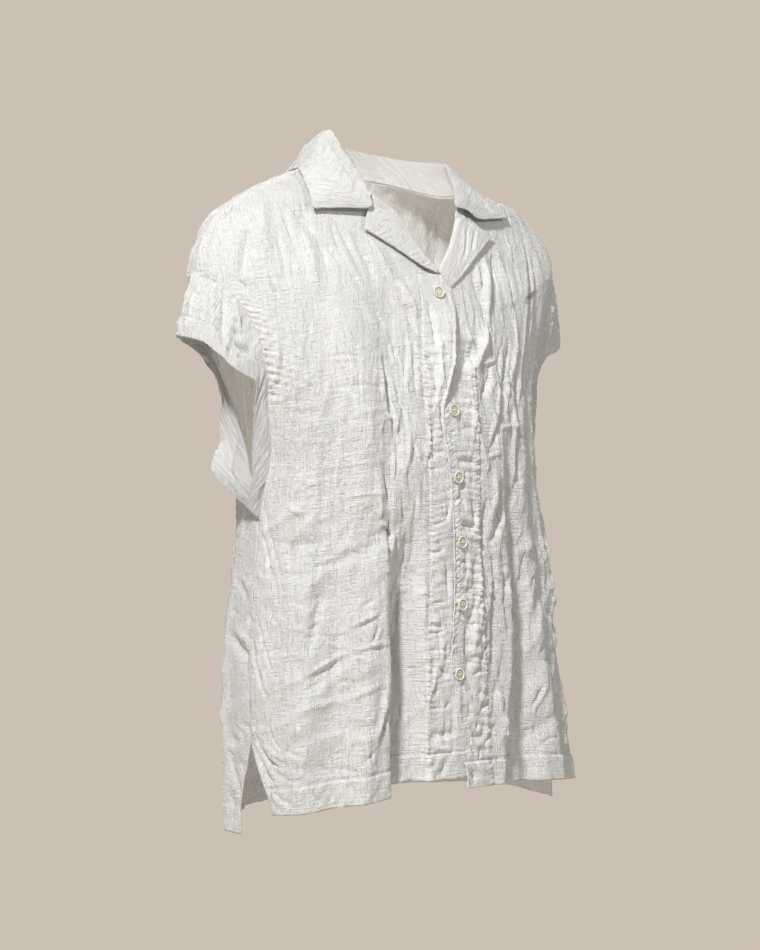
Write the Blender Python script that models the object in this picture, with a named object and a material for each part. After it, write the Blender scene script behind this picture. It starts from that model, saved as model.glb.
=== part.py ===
"""A woman's short-sleeved linen camp shirt, worn open below its top button and shown with no wearer in it.

Frame: +Z up, the front towards -Y and the wearer's left towards +X. The origin is midway between the two
points where the shoulder seams meet the neckline, which is where the wearer's shoulders hold the shirt.

The cloth is one form: rings that climb from the hem over the shoulders to the neck. Each panel is a patch of
that form between two turns (0 degrees at the centre front, 90 on the side or shoulder seam, 180 at the centre
back). Collar, lapels and sleeves are lofted from the edges of the panels that they are sewn to.
All tables are in millimetres and degrees.
"""

import math

import bmesh
import bpy
import numpy as np
from mathutils import Matrix, Vector

MM = 0.001
CLOTH = 1.2  # wall thickness of every layer of cloth

# How far each kind of piece is drawn in from its seam lines, so that it stops short of its neighbours.
DRAWN_IN = {"front": 0.15, "back": 0.15, "placket": 0.3, "sleeve": 0.8, "collar": 0.4, "lapel": 0.2}

# One row for each ring of the form. right_* and left_*: where the ring crosses each side seam, or the top of
# each shoulder. front_* and back_*: its depth and height at the centre. Power 2 is an ellipse, and a higher
# power is squarer. The left arm was lifted a little, so the cloth below that shoulder lies closer.
FORM_COLUMNS = (
    "level", "right_x", "right_y", "right_z", "left_x", "left_y", "left_z",
    "front_y", "front_z", "front_power", "back_y", "back_z",
)
FORM = [
    (0, 200, -17, -708, 231, -16, -706, -123, -688, 2.5, 124, -708),  # back hem
    (1, 201, -17, -683, 229, -17, -681, -122, -664, 2.5, 124, -686),  # front hem
    (2, 204, -18, -605, 219, -16, -604, -120, -590, 2.4, 124, -618),  # top of the side vents
    (3, 204, -18, -540, 211, -14, -540, -119, -530, 2.2, 123, -550),  # hip
    (4, 201, -18, -460, 202, -12, -460, -118, -455, 2.1, 118, -468),  # waist
    (5, 192, -17, -382, 187, -10, -382, -117, -388, 2.1, 110, -388),  # underarm
    (6, 191, -13, -320, 178, -5, -320, -116, -330, 2.1, 104, -326),  # armpit
    (7, 204, -6, -255, 181, 0, -255, -111, -275, 2.1, 103, -265),  # bust
    (8, 231, 6, -186, 208, 8, -180, -101, -215, 1.9, 101, -200),  # upper chest
    (9, 249, 18, -122, 250, 18, -86, -87, -155, 1.8, 94, -130),  # end of the shoulder seam
    (10, 229, 19, -70, 216, 19, -40, -73, -102, 1.8, 87, -78),
    (11, 186, 16, -36, 184, 16, -25, -60, -62, 1.9, 79, -42),  # middle of the shoulder
    (12, 138, 10, -14, 138, 10, -21, -51, -40, 2.0, 70, -18),
    (13, 94, 4, 6, 94, 4, -20, -46, -24, 2.0, 61, -3),  # neckline
]
BACK_POWER = 2.3
HEM_LEVEL, UNDERARM_LEVEL, SHOULDER_LEVEL, NECK_LEVEL = 1, 5, 9, 13
TURN_STEP, LEVEL_STEP = 1.5, 0.1  # the steps over which the form's slope is taken

# Turn of the panels' outer edges: open side vent, side seam, armhole, shoulder seam.
EDGE_COLUMNS = ("level", "right_front", "left_front", "right_back", "left_back")
EDGES = [
    (0, 78, 84, 97.0, 90.0),
    (1, 78, 84, 97.0, 90.0),
    (2, 90, 90, 90.0, 90.0),
    (5, 90, 90, 90.0, 90.0),
    (6, 81, 72, 97, 104),
    (7, 74, 63, 103, 110),
    (7.5, 68, 60, 106, 112),
    (8, 65, 57, 107, 112),
    (8.4, 66, 57, 106, 109),
    (8.8, 74, 67, 100, 100),
    (9, 90, 90, 90.0, 90.0),
    (13, 90, 90, 90.0, 90.0),
]

# Centre fronts: x of each front's free edge and of the seam of its band, and how far the band's edge stands
# off the form. The right front laps over the left at the buttoned top; below the hidden second button they
# change over, and the left front's band with its buttons lies outside.
OPENING_COLUMNS = ("level", "right_edge", "right_seam", "right_lift", "left_edge", "left_seam", "left_lift")
OPENING = [
    (1, 10, -52, -2, 0, 40, 3),
    (2, 6, -50, -2, -7, 37, 3),
    (3, 0, -48, -2, -18, 33, 3),
    (4, 0, -42, -2, -14, 29, 3),
    (5, -3, -42, -2, -15, 25, 3),
    (6, -8, -44, -2, -19, 27, 3),
    (6.7, -17, -44, -2, -21, 28, 2),
    (7, -25, -43, -1, -22, 29, 1),
    (7.25, -24.5, -43, 1, -22, 30, -1),
    (7.7, -11, -42, 5, -22, 31, -2),
    (8, -4, -40, 7, -21, 32, -2),
    (8.6, 5, -34, 6, -19, 33, -2),
    (9, 12, -30, 4, -17, 33, -2),
    (9.35, 11, -29, 4, -13, 34, -2),
    (9.65, 3, -28, 3, -6, 34, -2),
]
BREAK_LEVEL = 9.65  # where the lapels start to turn back

# Roll line of the neck opening above the break: x of the edge of both fronts, up to the neckline.
ROLL_COLUMNS = ("level", "right_edge", "left_edge")
ROLL = [
    (9.65, 3, -6),
    (10, -16, 14),
    (10.5, -38, 31),
    (11, -57, 42),
    (11.5, -69, 49),
    (12, -74, 56),
    (12.5, -74, 64),
    (13, -72, 72),
]

# The largest folds: soft troughs (negative) and ridges, between two levels and two turns.
FOLD_COLUMNS = ("top", "bottom", "turn_top", "turn_bottom", "width", "height")
FOLDS = {
    "front_right": [
        (6.0, 0, -21, -23, 4.0, -15),
        (6.4, 0, -31, -34, 5.0, 7),
        (9.6, 5.6, -40, -47, 6.0, -6),
        (5.2, 0, -58, -62, 6.0, 7),
    ],
    "front_left": [
        (8.6, 0, 29, 22, 4.0, -13),
        (9.8, 5.8, 50, 46, 4.0, -9),
        (6.0, 0, 36, 38, 5.0, 5),
        (4.6, 0, 58, 56, 5.0, -7),
    ],
    "back": [
        (8.5, 0, -162, -168, 6.0, 9),
        (6.5, 0, -140, -136, 7.0, -9),
        (5.5, 0, -112, -108, 5.0, 6),
        (8.0, 0, 168, 172, 5.0, -8),
        (7.5, 0, 146, 152, 6.0, 8),
        (5.5, 0, 118, 124, 6.0, -8),
    ],
}
FOLD_ONSET = 1.6  # a fold is fully grown at 1/1.6 of its length


def read(names, rows, at):
    """Every column of a table, read at the given values of its first column by a curve with no overshoot."""
    table = np.array(rows, float)
    return {name: smooth(at, table[:, 0], table[:, i]) for i, name in enumerate(names) if i}


def smooth(x, known_x, known_y):
    """Cubic pieces through the known points, whose slopes stay between those of the chords beside them."""
    x = np.clip(np.asarray(x, float), known_x[0], known_x[-1])
    step = np.diff(known_x)
    chord = np.diff(known_y) / step
    slope = np.zeros_like(known_y)
    same_way = chord[:-1] * chord[1:] > 0
    slope[1:-1][same_way] = 2 * (chord[:-1] * chord[1:])[same_way] / (chord[:-1] + chord[1:])[same_way]
    slope[0], slope[-1] = chord[0], chord[-1]
    i = np.clip(np.searchsorted(known_x, x) - 1, 0, len(step) - 1)
    t = (x - known_x[i]) / step[i]
    start, end = known_y[i], known_y[i + 1]
    bend_in, bend_out = slope[i] * step[i], slope[i + 1] * step[i]
    return (
        (2 * t**3 - 3 * t**2 + 1) * start
        + (t**3 - 2 * t**2 + t) * bend_in
        + (3 * t**2 - 2 * t**3) * end
        + (t**3 - t**2) * bend_out
    )


def fold_height(rows, turn, level):
    """How far the folds push the cloth out: a bell across each fold, fading in below its top."""
    total = np.zeros(turn.shape)
    for top, bottom, turn_top, turn_bottom, width, height in rows:
        along = np.clip((top - level) / (top - bottom), 0, 1)
        centre = turn_top + (turn_bottom - turn_top) * along
        grown = np.sin(np.minimum(along * FOLD_ONSET, 1) * math.pi / 2) ** 2
        total += height * grown * np.exp(-(((turn - centre) / width) ** 2))
    return total


def form(turn, level):
    """A point of the smooth form: turn goes round the ring from the centre front, positive to the left."""
    ring = read(FORM_COLUMNS, FORM, level)
    angle = np.radians(turn)
    sine, cosine = np.sin(angle), np.cos(angle)
    side = {axis: np.where(sine < 0, ring["right_" + axis], ring["left_" + axis]) for axis in "xyz"}
    front = cosine > 0
    power = np.where(front, ring["front_power"], BACK_POWER)
    centre_y = np.where(front, ring["front_y"], ring["back_y"])
    centre_z = np.where(front, ring["front_z"], ring["back_z"])
    x = np.sign(sine) * side["x"] * np.abs(sine) ** (2 / power)
    y = side["y"] + (centre_y - side["y"]) * np.abs(cosine) ** (2 / power)
    z = side["z"] + (centre_z - side["z"]) * cosine**2
    return np.stack([x, y, z], axis=-1)


def outward(turn, level):
    """The direction away from the body at a point of the form."""
    up = np.minimum(level + LEVEL_STEP, NECK_LEVEL)
    down = np.maximum(level - LEVEL_STEP, 0)
    along = form(turn + TURN_STEP, level) - form(turn - TURN_STEP, level)
    normal = np.cross(along, form(turn, up) - form(turn, down))
    return normal / np.linalg.norm(normal, axis=-1, keepdims=True)


def cloth(piece, turn, level, lift=0.0):
    """A piece's own surface: the form, its folds, and a lift off it where layers lie over each other."""
    turn, level = np.broadcast_arrays(np.asarray(turn, float), np.asarray(level, float))
    height = fold_height(FOLDS[piece], turn, level) + lift
    return form(turn, level) + outward(turn, level) * height[..., None]


def turn_at(x, level):
    """The turn where the front half of a ring crosses x."""
    ring = read(FORM_COLUMNS, FORM, level)
    side_x = np.where(x < 0, ring["right_x"], ring["left_x"])
    share = np.minimum(np.abs(x) / side_x, 1)
    return np.sign(x) * np.degrees(np.arcsin(share ** (ring["front_power"] / 2)))


# ---------------------------------------------------------------------------------------------- mesh helpers


def patch(points, around=False, keep=None):
    """Vertices and quads of a grid of points (rows, columns, 3). keep leaves some cells out."""
    rows, cols = points.shape[:2]
    faces = []
    for r in range(rows - 1):
        for c in range(cols if around else cols - 1):
            if keep is None or keep[r, c]:
                right = (c + 1) % cols
                faces.append((r * cols + c, r * cols + right, (r + 1) * cols + right, (r + 1) * cols + c))
    return points.reshape(-1, 3), faces


SAME_WAY = 0.99  # cosine above which two edges at a vertex run on in one line, and so move it only once


def draw_in_edges(mesh, amount):
    """Moves each vertex on a free edge into its own cloth, which opens the seam to the next piece."""
    moves = {}
    for edge in mesh.edges:
        if len(edge.link_faces) != 1:
            continue
        a, b = edge.verts
        along = (b.co - a.co).normalized()
        inward = edge.link_faces[0].calc_center_median() - a.co
        inward -= along * inward.dot(along)
        for vertex in edge.verts:
            moves.setdefault(vertex, []).append(inward.normalized())
    for vertex, directions in moves.items():
        total = directions[0].copy()
        for direction in directions[1:]:
            if total.normalized().dot(direction) < SAME_WAY:
                total += direction
        vertex.co += total * amount


def wall(name, points, faces, material):
    """A piece of cloth as a closed wall: the surface, drawn in at its free edges, with Solidify."""
    mesh = bpy.data.meshes.new(name)
    mesh.from_pydata((points * MM).tolist(), [], faces)
    edit = bmesh.new()
    edit.from_mesh(mesh)
    loose = [v for v in edit.verts if not v.link_faces]
    bmesh.ops.delete(edit, geom=loose, context="VERTS")
    draw_in_edges(edit, DRAWN_IN[name.split("_")[0]] * MM)
    edit.to_mesh(mesh)
    edit.free()
    mesh.shade_smooth()
    mesh.materials.append(material)
    piece = bpy.data.objects.new(name, mesh)
    bpy.context.scene.collection.objects.link(piece)
    solid = piece.modifiers.new("cloth", "SOLIDIFY")
    solid.thickness = CLOTH * MM
    solid.offset = 0
    return piece


def finish_material(name, colour, roughness):
    material = bpy.data.materials.new(name)
    material.use_nodes = True
    shader = material.node_tree.nodes["Principled BSDF"]
    shader.inputs["Base Color"].default_value = (*colour, 1)
    shader.inputs["Roughness"].default_value = roughness
    shader.inputs["Metallic"].default_value = 0
    return material


# ------------------------------------------------------------------------------------------------ the panels

# Levels of the panels' rows: closer where the armhole and the neck opening turn.
LEVELS = np.array([
    0, 1, 1.5, 2, 2.6, 3.2, 3.8, 4.4, 5, 5.33, 5.67, 6, 6.33, 6.7, 7, 7.25, 7.5, 7.75, 8, 8.3, 8.6, 8.8,
    8.9, 9, 9.35, 9.65, 10, 10.5, 11, 11.5, 12, 12.5, 13,
])
BAND_COLUMNS, FRONT_COLUMNS, BACK_COLUMNS = 2, 13, 18
FACING_SHARE = 0.25  # share of a front's width that the band's columns take on above the break

# The right front's hem rides up between its deep fold and its band.
RIDE_HEIGHT = 0.22  # in levels, at the hem
RIDE_TOP = 2.6  # the level where it has died away
RIDE_TURN, RIDE_SPREAD = -20, 1.5  # the turn where it starts, and how softly


def front(side, material):
    """A front panel, and the band sewn to its edge from the hem up to the break of the lapel."""
    sign = -1 if side == "right" else 1
    level = LEVELS[LEVELS >= HEM_LEVEL]
    opening = read(OPENING_COLUMNS, OPENING, level)
    roll = read(ROLL_COLUMNS, ROLL, level)
    outer = sign * read(EDGE_COLUMNS, EDGES, level)[side + "_front"]
    above = level > BREAK_LEVEL
    edge = turn_at(np.where(above, roll[side + "_edge"], opening[side + "_edge"]), level)
    seam = np.where(above, edge + (outer - edge) * FACING_SHARE, turn_at(opening[side + "_seam"], level))
    lift = np.where(above, 0, opening[side + "_lift"])
    turns, lifts = [], []
    for k in range(BAND_COLUMNS):
        share = k / BAND_COLUMNS
        turns.append(edge + (seam - edge) * share)
        lifts.append(lift * (1 - share))
    for k in range(FRONT_COLUMNS + 1):
        turns.append(seam + (outer - seam) * k / FRONT_COLUMNS)
        lifts.append(np.zeros_like(lift))
    turn = np.stack(turns, axis=1)
    level = np.broadcast_to(level[:, None], turn.shape)
    if side == "right":
        ridden = 1 / (1 + np.exp((RIDE_TURN - turn) / RIDE_SPREAD))
        level = level + RIDE_HEIGHT * ridden * np.clip((RIDE_TOP - level) / (RIDE_TOP - HEM_LEVEL), 0, 1)
    points = cloth("front_" + side, turn, level, np.stack(lifts, axis=1))
    band = np.zeros((len(level) - 1, points.shape[1] - 1), bool)
    band[~above[:-1], :BAND_COLUMNS] = True
    band[np.flatnonzero(~above)[-1], :BAND_COLUMNS] = False
    if side == "right":
        points, band = points[:, ::-1], band[:, ::-1]
    wall("front_" + side, *patch(points, keep=~band), material)
    wall("placket_" + side, *patch(points, keep=band), material)


def back(material):
    """The back panel, from side to side, longer than the fronts."""
    outer = read(EDGE_COLUMNS, EDGES, LEVELS)
    left, right = outer["left_back"], 360 - outer["right_back"]
    share = np.linspace(0, 1, BACK_COLUMNS + 1)
    turn = left[:, None] + (right - left)[:, None] * share
    turn = np.where(turn > 180, turn - 360, turn)
    wall("back", *patch(cloth("back", turn, LEVELS[:, None])), material)


# ----------------------------------------------------------------------------------------------- the sleeves

# Hem of each sleeve, going round from its top by the front to the underarm and up the back.
SLEEVE_COLUMNS = ("round", "x", "y", "z")
SLEEVE_HEMS = {
    "right": [
        (0, -270, 20, -190),
        (22, -264, -14, -197),
        (45, -251, -31, -213),
        (65, -240, -40, -226),
        (85, -215, -41, -239),
        (110, -211, -32, -268),
        (135, -207, -25, -298),
        (155, -206, -22, -330),
        (180, -207, -13, -362),
        (205, -225, 22, -328),
        (235, -206, 35, -294),
        (265, -213, 22, -245),
        (305, -229, 27, -215),
        (335, -248, 36, -196),
        (360, -270, 20, -190),
    ],
    "left": [
        (0, 275, 20, -179),
        (25, 258, 4, -186),
        (50, 232, -10, -193),
        (75, 207, -22, -204),
        (100, 194, -24, -238),
        (140, 196, -14, -296),
        (180, 206, 6, -350),
        (220, 216, 36, -308),
        (260, 220, 50, -250),
        (300, 236, 54, -212),
        (335, 264, 44, -186),
        (360, 275, 20, -179),
    ],
}
SLEEVE_RINGS = 4
SLEEVE_SWELL, SLEEVE_RISE = 3, 1.2  # how far it billows outwards and up, between its seam and its hem
ARMHOLE_LEVELS = LEVELS[(LEVELS >= UNDERARM_LEVEL) & (LEVELS <= SHOULDER_LEVEL)][::-1]


def armhole(side):
    """The edge of the panels round an armhole, from the shoulder down the front and up the back."""
    sign = -1 if side == "right" else 1
    edge = read(EDGE_COLUMNS, EDGES, ARMHOLE_LEVELS)
    ahead = cloth("front_" + side, sign * edge[side + "_front"], ARMHOLE_LEVELS)
    behind = cloth("back", sign * edge[side + "_back"], ARMHOLE_LEVELS)
    return np.concatenate([ahead, behind[-2:0:-1]])


def sleeve(side, material):
    """A short sleeve: rings from the armhole out to the hem."""
    sign = -1 if side == "right" else 1
    seam = armhole(side)
    hem = read(SLEEVE_COLUMNS, SLEEVE_HEMS[side], np.arange(len(seam)) * 360 / len(seam))
    edge = np.stack([hem["x"], hem["y"], hem["z"]], axis=1)
    rings = []
    for k in range(SLEEVE_RINGS + 1):
        share = k / SLEEVE_RINGS
        swell = np.array([sign * SLEEVE_SWELL, 0, SLEEVE_RISE]) * math.sin(math.pi * share)
        rings.append(seam + (edge - seam) * share + swell)
    points = np.stack(rings)
    if side == "left":
        points = points[:, ::-1]
    wall("sleeve_" + side, *patch(points, around=True), material)


# ------------------------------------------------------------------------------------------ collar and lapels

# The collar from the wearer's right gorge (0) round the back (6) to the left one (12), with turns that run on
# past the centre back. neck_turn: its seam on the neckline. roll_*: the roll line in space. fall_* and
# leaf_*: the middle of the leaf (the notch, at both ends) and its outer edge, as turn and level on the panels
# below and how far each stands off them.
COLLAR_COLUMNS = (
    "station", "neck_turn", "roll_x", "roll_y", "roll_z",
    "fall_turn", "fall_level", "fall_lift", "leaf_turn", "leaf_level", "leaf_lift",
)
COLLAR = [
    (0, -48, -76, -56, -35, -26, 11.03, 9, -46, 10.73, 5),  # right notch and collar point
    (1, -60, -79, -40, -12, -45, 11.89, 9, -54, 11.27, 4),
    (2, -75, -81, -20, 11, -68, 12.67, 10, -72, 12.02, 4),
    (3, -90, -84, 4, 37, -94, 12.95, 21, -95, 12.50, 9),  # right shoulder
    (4, -118, -72, 34, 38, -122, 12.90, 19, -132, 12.20, 6),
    (5, -148, -45, 55, 34, -151, 12.90, 19, -161, 11.60, 9),
    (6, -180, 0, 63, 30, -180, 12.90, 19, -180, 11.30, 11),  # centre back
    (7, -212, 45, 55, 25, -205, 12.85, 18, -198, 11.50, 9),
    (8, -242, 71, 32, 20, -236, 12.85, 17, -226, 12.15, 6),
    (9, -270, 78, 2, 16, -268, 12.90, 22, -266, 12.50, 8),  # left shoulder
    (10, -285, 70, -18, -1, -296, 12.64, 12, -292, 12.09, 5),
    (11, -300, 60, -38, -19, -319, 11.78, 7, -305, 11.55, 5),
    (12, -312, 47, -54, -39, -336, 10.95, 9, -316, 10.47, 4),  # left notch and collar point
]
COLLAR_STATIONS = 24
SEAM_RISE = 2.2  # height of the collar's seam above the edge of the panels
LEAF_CROWN = 3  # how far the leaf arches up between the roll line and the middle of its fall


def around_back(turn):
    """Turns that ran on past the centre back, as turns of the form."""
    return np.where(turn < -180, turn + 360, turn)


def on_panels(turn, level, lift):
    """A point that lies off the panels by a lift, with no folds."""
    turn = around_back(turn)
    return form(turn, level) + outward(turn, level) * lift[:, None]


def collar(material):
    """The stand rises from the neckline to the roll line, and the leaf falls from there over the seam."""
    at = read(COLLAR_COLUMNS, COLLAR, np.linspace(0, COLLAR[-1][0], COLLAR_STATIONS + 1))
    neck = np.full(COLLAR_STATIONS + 1, float(NECK_LEVEL))
    seam = form(around_back(at["neck_turn"]), neck) + np.array([0, 0, SEAM_RISE])
    roll = np.stack([at["roll_x"], at["roll_y"], at["roll_z"]], axis=1)
    fall = on_panels(at["fall_turn"], at["fall_level"], at["fall_lift"])
    leaf = on_panels(at["leaf_turn"], at["leaf_level"], at["leaf_lift"])
    middle = on_panels(*((at["fall_" + name] + at["leaf_" + name]) / 2 for name in ("turn", "level", "lift")))
    arch = (roll + fall) / 2 + np.array([0, 0, LEAF_CROWN])
    rows = [seam, (seam + roll) / 2, roll, arch, fall, middle, leaf]
    wall("collar", *patch(np.stack(rows)[::-1]), material)


# Each lapel from the break (0) to its top edge (4): the roll line and the free edge, as x and level on the
# front that it lies on, and how far each stands off that front.
LAPEL_COLUMNS = ("station", "roll_x", "roll_level", "roll_lift", "edge_x", "edge_level", "edge_lift")
LAPELS = {
    "right": [
        (0, 1, 9.74, 5, -5, 9.68, 5),
        (1, -14, 9.98, 4, -24, 9.80, 5),
        (2, -36, 10.45, 3, -44, 10.00, 5),
        (3, -55, 10.95, 4, -68, 10.24, 5),
        (4, -73, 11.55, 9, -87, 10.45, 5),
    ],
    "left": [
        (0, 2, 9.78, 0.8, 9, 9.34, 0.6),
        (1, 9, 9.95, 3, 32, 9.62, 4),
        (2, 25, 10.35, 3, 54, 9.92, 5),
        (3, 37, 10.80, 4, 76, 10.18, 5),
        (4, 45, 11.20, 7, 97, 10.42, 5),
    ],
}
LAPEL_ROWS, LAPEL_STEPS = 9, 3  # cells along the roll line, and from there to the free edge


def lapel(side, material):
    """A lapel: the turned-back top of the front, laid over the front from its roll line."""
    at = read(LAPEL_COLUMNS, LAPELS[side], np.linspace(0, LAPELS[side][-1][0], LAPEL_ROWS + 1))
    columns = []
    for share in np.linspace(0, 1, LAPEL_STEPS + 1):
        x = at["roll_x"] + (at["edge_x"] - at["roll_x"]) * share
        level = at["roll_level"] + (at["edge_level"] - at["roll_level"]) * share
        lift = at["roll_lift"] + (at["edge_lift"] - at["roll_lift"]) * share
        columns.append(cloth("front_" + side, turn_at(x, level), level, lift))
    points = np.stack(columns, axis=1)
    if side == "right":
        points = points[:, ::-1]
    wall("lapel_" + side, *patch(points), material)


# ------------------------------------------------------------------------------------------------ the buttons

BUTTON_RADIUS = 6.4
BUTTON_RIM = 2.6  # thickness at the rim
BUTTON_DISH = 0.9  # depth of the dished middle
BUTTON_HOLE = 0.75  # radius of each of its four holes
BUTTON_PITCH = 1.35  # from the middle of the button to each hole along both axes
BUTTON_LIP = 1.2  # width of the raised rim
BUTTON_SLOPE = 0.8  # width of the slope from the rim down to the dished middle
BUTTON_SIDES, HOLE_SIDES = 40, 12
BUTTON_GAP = 0.8  # from the band to the button's back, where its thread is wound

# Each button from the top down: the panel it lies on, its x and its level.
BUTTONS = [
    ("front_right", 0, 9.24),  # buttoned through the right front
    ("front_left", -10, 8.2),  # hidden between the two bands
    ("front_left", -10, 7.17),
    ("front_left", -8, 5.9),
    ("front_left", -4, 4.75),
    ("front_left", -5, 3.8),
    ("front_left", -8, 2.79),
]


def band_lift(side, x, level):
    """How far a front's band stands off the form at x."""
    at = read(OPENING_COLUMNS, OPENING, level)
    share = (x - at[side + "_edge"]) / (at[side + "_seam"] - at[side + "_edge"])
    return at[side + "_lift"] * (1 - share)


def button(number, panel, x, level, material):
    """A round button with a raised rim, a dished middle and four holes, flat on the band it is sewn to."""
    side = panel.split("_")[1]
    level = np.array(level, float)
    turn = turn_at(np.array(x, float), level)
    lift = band_lift(side, x, level) + CLOTH / 2 + BUTTON_GAP
    centre = cloth(panel, turn, level, lift)
    axis = Vector(outward(turn, level))
    upright = axis.to_track_quat("Z", "Y").to_matrix().to_4x4()
    bpy.ops.mesh.primitive_cylinder_add(
        vertices=BUTTON_SIDES,
        radius=BUTTON_RADIUS * MM,
        depth=BUTTON_RIM * MM,
    )
    piece = bpy.context.object
    piece.name = f"button_{number}"
    edit = bmesh.new()
    edit.from_mesh(piece.data)
    top = [face for face in edit.faces if face.normal.z > 0.9]
    bmesh.ops.inset_region(edit, faces=top, thickness=BUTTON_LIP * MM)
    bmesh.ops.inset_region(edit, faces=top, thickness=BUTTON_SLOPE * MM, depth=-BUTTON_DISH * MM)
    edit.to_mesh(piece.data)
    edit.free()
    piece.data.transform(Matrix.Translation((0, 0, BUTTON_RIM / 2 * MM)))
    holes = []
    for across in (-1, 1):
        for along in (-1, 1):
            bpy.ops.mesh.primitive_cylinder_add(
                vertices=HOLE_SIDES,
                radius=BUTTON_HOLE * MM,
                depth=BUTTON_RIM * 3 * MM,
                location=(across * BUTTON_PITCH * MM, along * BUTTON_PITCH * MM, 0),
            )
            holes.append(bpy.context.object)
    for hole in holes:
        cut = piece.modifiers.new("hole", "BOOLEAN")
        cut.operation = "DIFFERENCE"
        cut.solver = "EXACT"
        cut.object = hole
    bpy.context.view_layer.update()
    bored = bpy.data.meshes.new_from_object(piece.evaluated_get(bpy.context.evaluated_depsgraph_get()))
    piece.modifiers.clear()
    piece.data = bored
    for hole in holes:
        bpy.data.objects.remove(hole)
    bored.transform(Matrix.Translation(Vector(centre) * MM) @ upright)
    bored.materials.clear()
    bored.materials.append(material)


def build():
    for old in list(bpy.data.objects):
        bpy.data.objects.remove(old)
    linen = finish_material("linen", (0.83, 0.82, 0.79), 0.85)
    front("right", linen)
    front("left", linen)
    back(linen)
    sleeve("right", linen)
    sleeve("left", linen)
    collar(linen)
    lapel("right", linen)
    lapel("left", linen)
    shell = finish_material("button", (0.80, 0.76, 0.64), 0.35)
    for number, (panel, x, level) in enumerate(BUTTONS, start=1):
        button(number, panel, x, level, shell)


build()
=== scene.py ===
"""The looks of a woman's short-sleeved linen camp shirt, worn and shown with no wearer in it.

Every panel is a fine sheet on the form of its solid, in millimetres until it becomes a mesh. A front or the
back is a patch of one form: rings that climb from the hem (level 0) over the shoulders to the neck (13), with
turns that go round from the centre front (0 degrees) over the sides (90) to the centre back (180), positive
to the wearer's left.
"""

import math

import bmesh
import bpy
import numpy as np
from mathutils import Matrix, Vector


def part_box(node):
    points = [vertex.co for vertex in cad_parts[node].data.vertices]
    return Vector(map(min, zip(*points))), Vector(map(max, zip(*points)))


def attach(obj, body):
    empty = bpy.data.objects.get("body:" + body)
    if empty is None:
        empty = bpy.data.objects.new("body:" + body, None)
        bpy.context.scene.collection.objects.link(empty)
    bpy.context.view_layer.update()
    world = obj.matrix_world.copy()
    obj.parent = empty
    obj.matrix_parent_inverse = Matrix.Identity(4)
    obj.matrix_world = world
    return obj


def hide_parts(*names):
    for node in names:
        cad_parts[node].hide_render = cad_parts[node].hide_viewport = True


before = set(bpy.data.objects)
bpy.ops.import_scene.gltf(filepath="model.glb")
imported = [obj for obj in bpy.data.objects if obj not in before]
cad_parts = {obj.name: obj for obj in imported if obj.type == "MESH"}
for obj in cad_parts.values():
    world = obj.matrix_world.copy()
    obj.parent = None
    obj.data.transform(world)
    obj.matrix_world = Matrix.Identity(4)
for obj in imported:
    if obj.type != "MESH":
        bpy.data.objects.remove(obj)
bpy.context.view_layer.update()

# ------------------------------------------------------------------------------------------- the right front
# The wearer's right front: one panel of crumpled white linen gauze, cut in one with its facing above the
# break of the lapel, with a 27 mm turned hem. It is sewn to the back at the side, to the sleeve round the
# armhole and to the back again along the shoulder.

MM = 0.001
FORM_COLUMNS = (
    "level", "right_x", "right_y", "right_z", "left_x", "left_y", "left_z",
    "front_y", "front_z", "front_power", "back_y", "back_z",
)
FORM = [
    (0, 200, -17, -708, 231, -16, -706, -123, -688, 2.5, 124, -708),
    (1, 201, -17, -683, 229, -17, -681, -122, -664, 2.5, 124, -686),
    (2, 204, -18, -605, 219, -16, -604, -120, -590, 2.4, 124, -618),
    (3, 204, -18, -540, 211, -14, -540, -119, -530, 2.2, 123, -550),
    (4, 201, -18, -460, 202, -12, -460, -118, -455, 2.1, 118, -468),
    (5, 192, -17, -382, 187, -10, -382, -117, -388, 2.1, 110, -388),
    (6, 191, -13, -320, 178, -5, -320, -116, -330, 2.1, 104, -326),
    (7, 204, -6, -255, 181, 0, -255, -111, -275, 2.1, 103, -265),
    (8, 231, 6, -186, 208, 8, -180, -101, -215, 1.9, 101, -200),
    (9, 249, 18, -122, 250, 18, -86, -87, -155, 1.8, 94, -130),
    (10, 229, 19, -70, 216, 19, -40, -73, -102, 1.8, 87, -78),
    (11, 186, 16, -36, 184, 16, -25, -60, -62, 1.9, 79, -42),
    (12, 138, 10, -14, 138, 10, -21, -51, -40, 2.0, 70, -18),
    (13, 94, 4, 6, 94, 4, -20, -46, -24, 2.0, 61, -3),
]
BACK_POWER = 2.3
HEM_LEVEL, SHOULDER_LEVEL, BREAK_LEVEL, NECK_LEVEL = 1, 9, 9.65, 13

# Turn of the panels' outer edges: open vent, side seam, armhole, shoulder seam.
EDGE_COLUMNS = ("level", "right_front", "left_front", "right_back", "left_back")
EDGES = [
    (0, 78, 84, 97.0, 90.0),
    (1, 78, 84, 97.0, 90.0),
    (2, 90, 90, 90.0, 90.0),
    (5, 90, 90, 90.0, 90.0),
    (6, 81, 72, 97, 104),
    (7, 74, 63, 103, 110),
    (7.5, 68, 60, 106, 112),
    (8, 65, 57, 107, 112),
    (8.4, 66, 57, 106, 109),
    (8.8, 74, 67, 100, 100),
    (9, 90, 90, 90.0, 90.0),
    (13, 90, 90, 90.0, 90.0),
]

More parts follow.
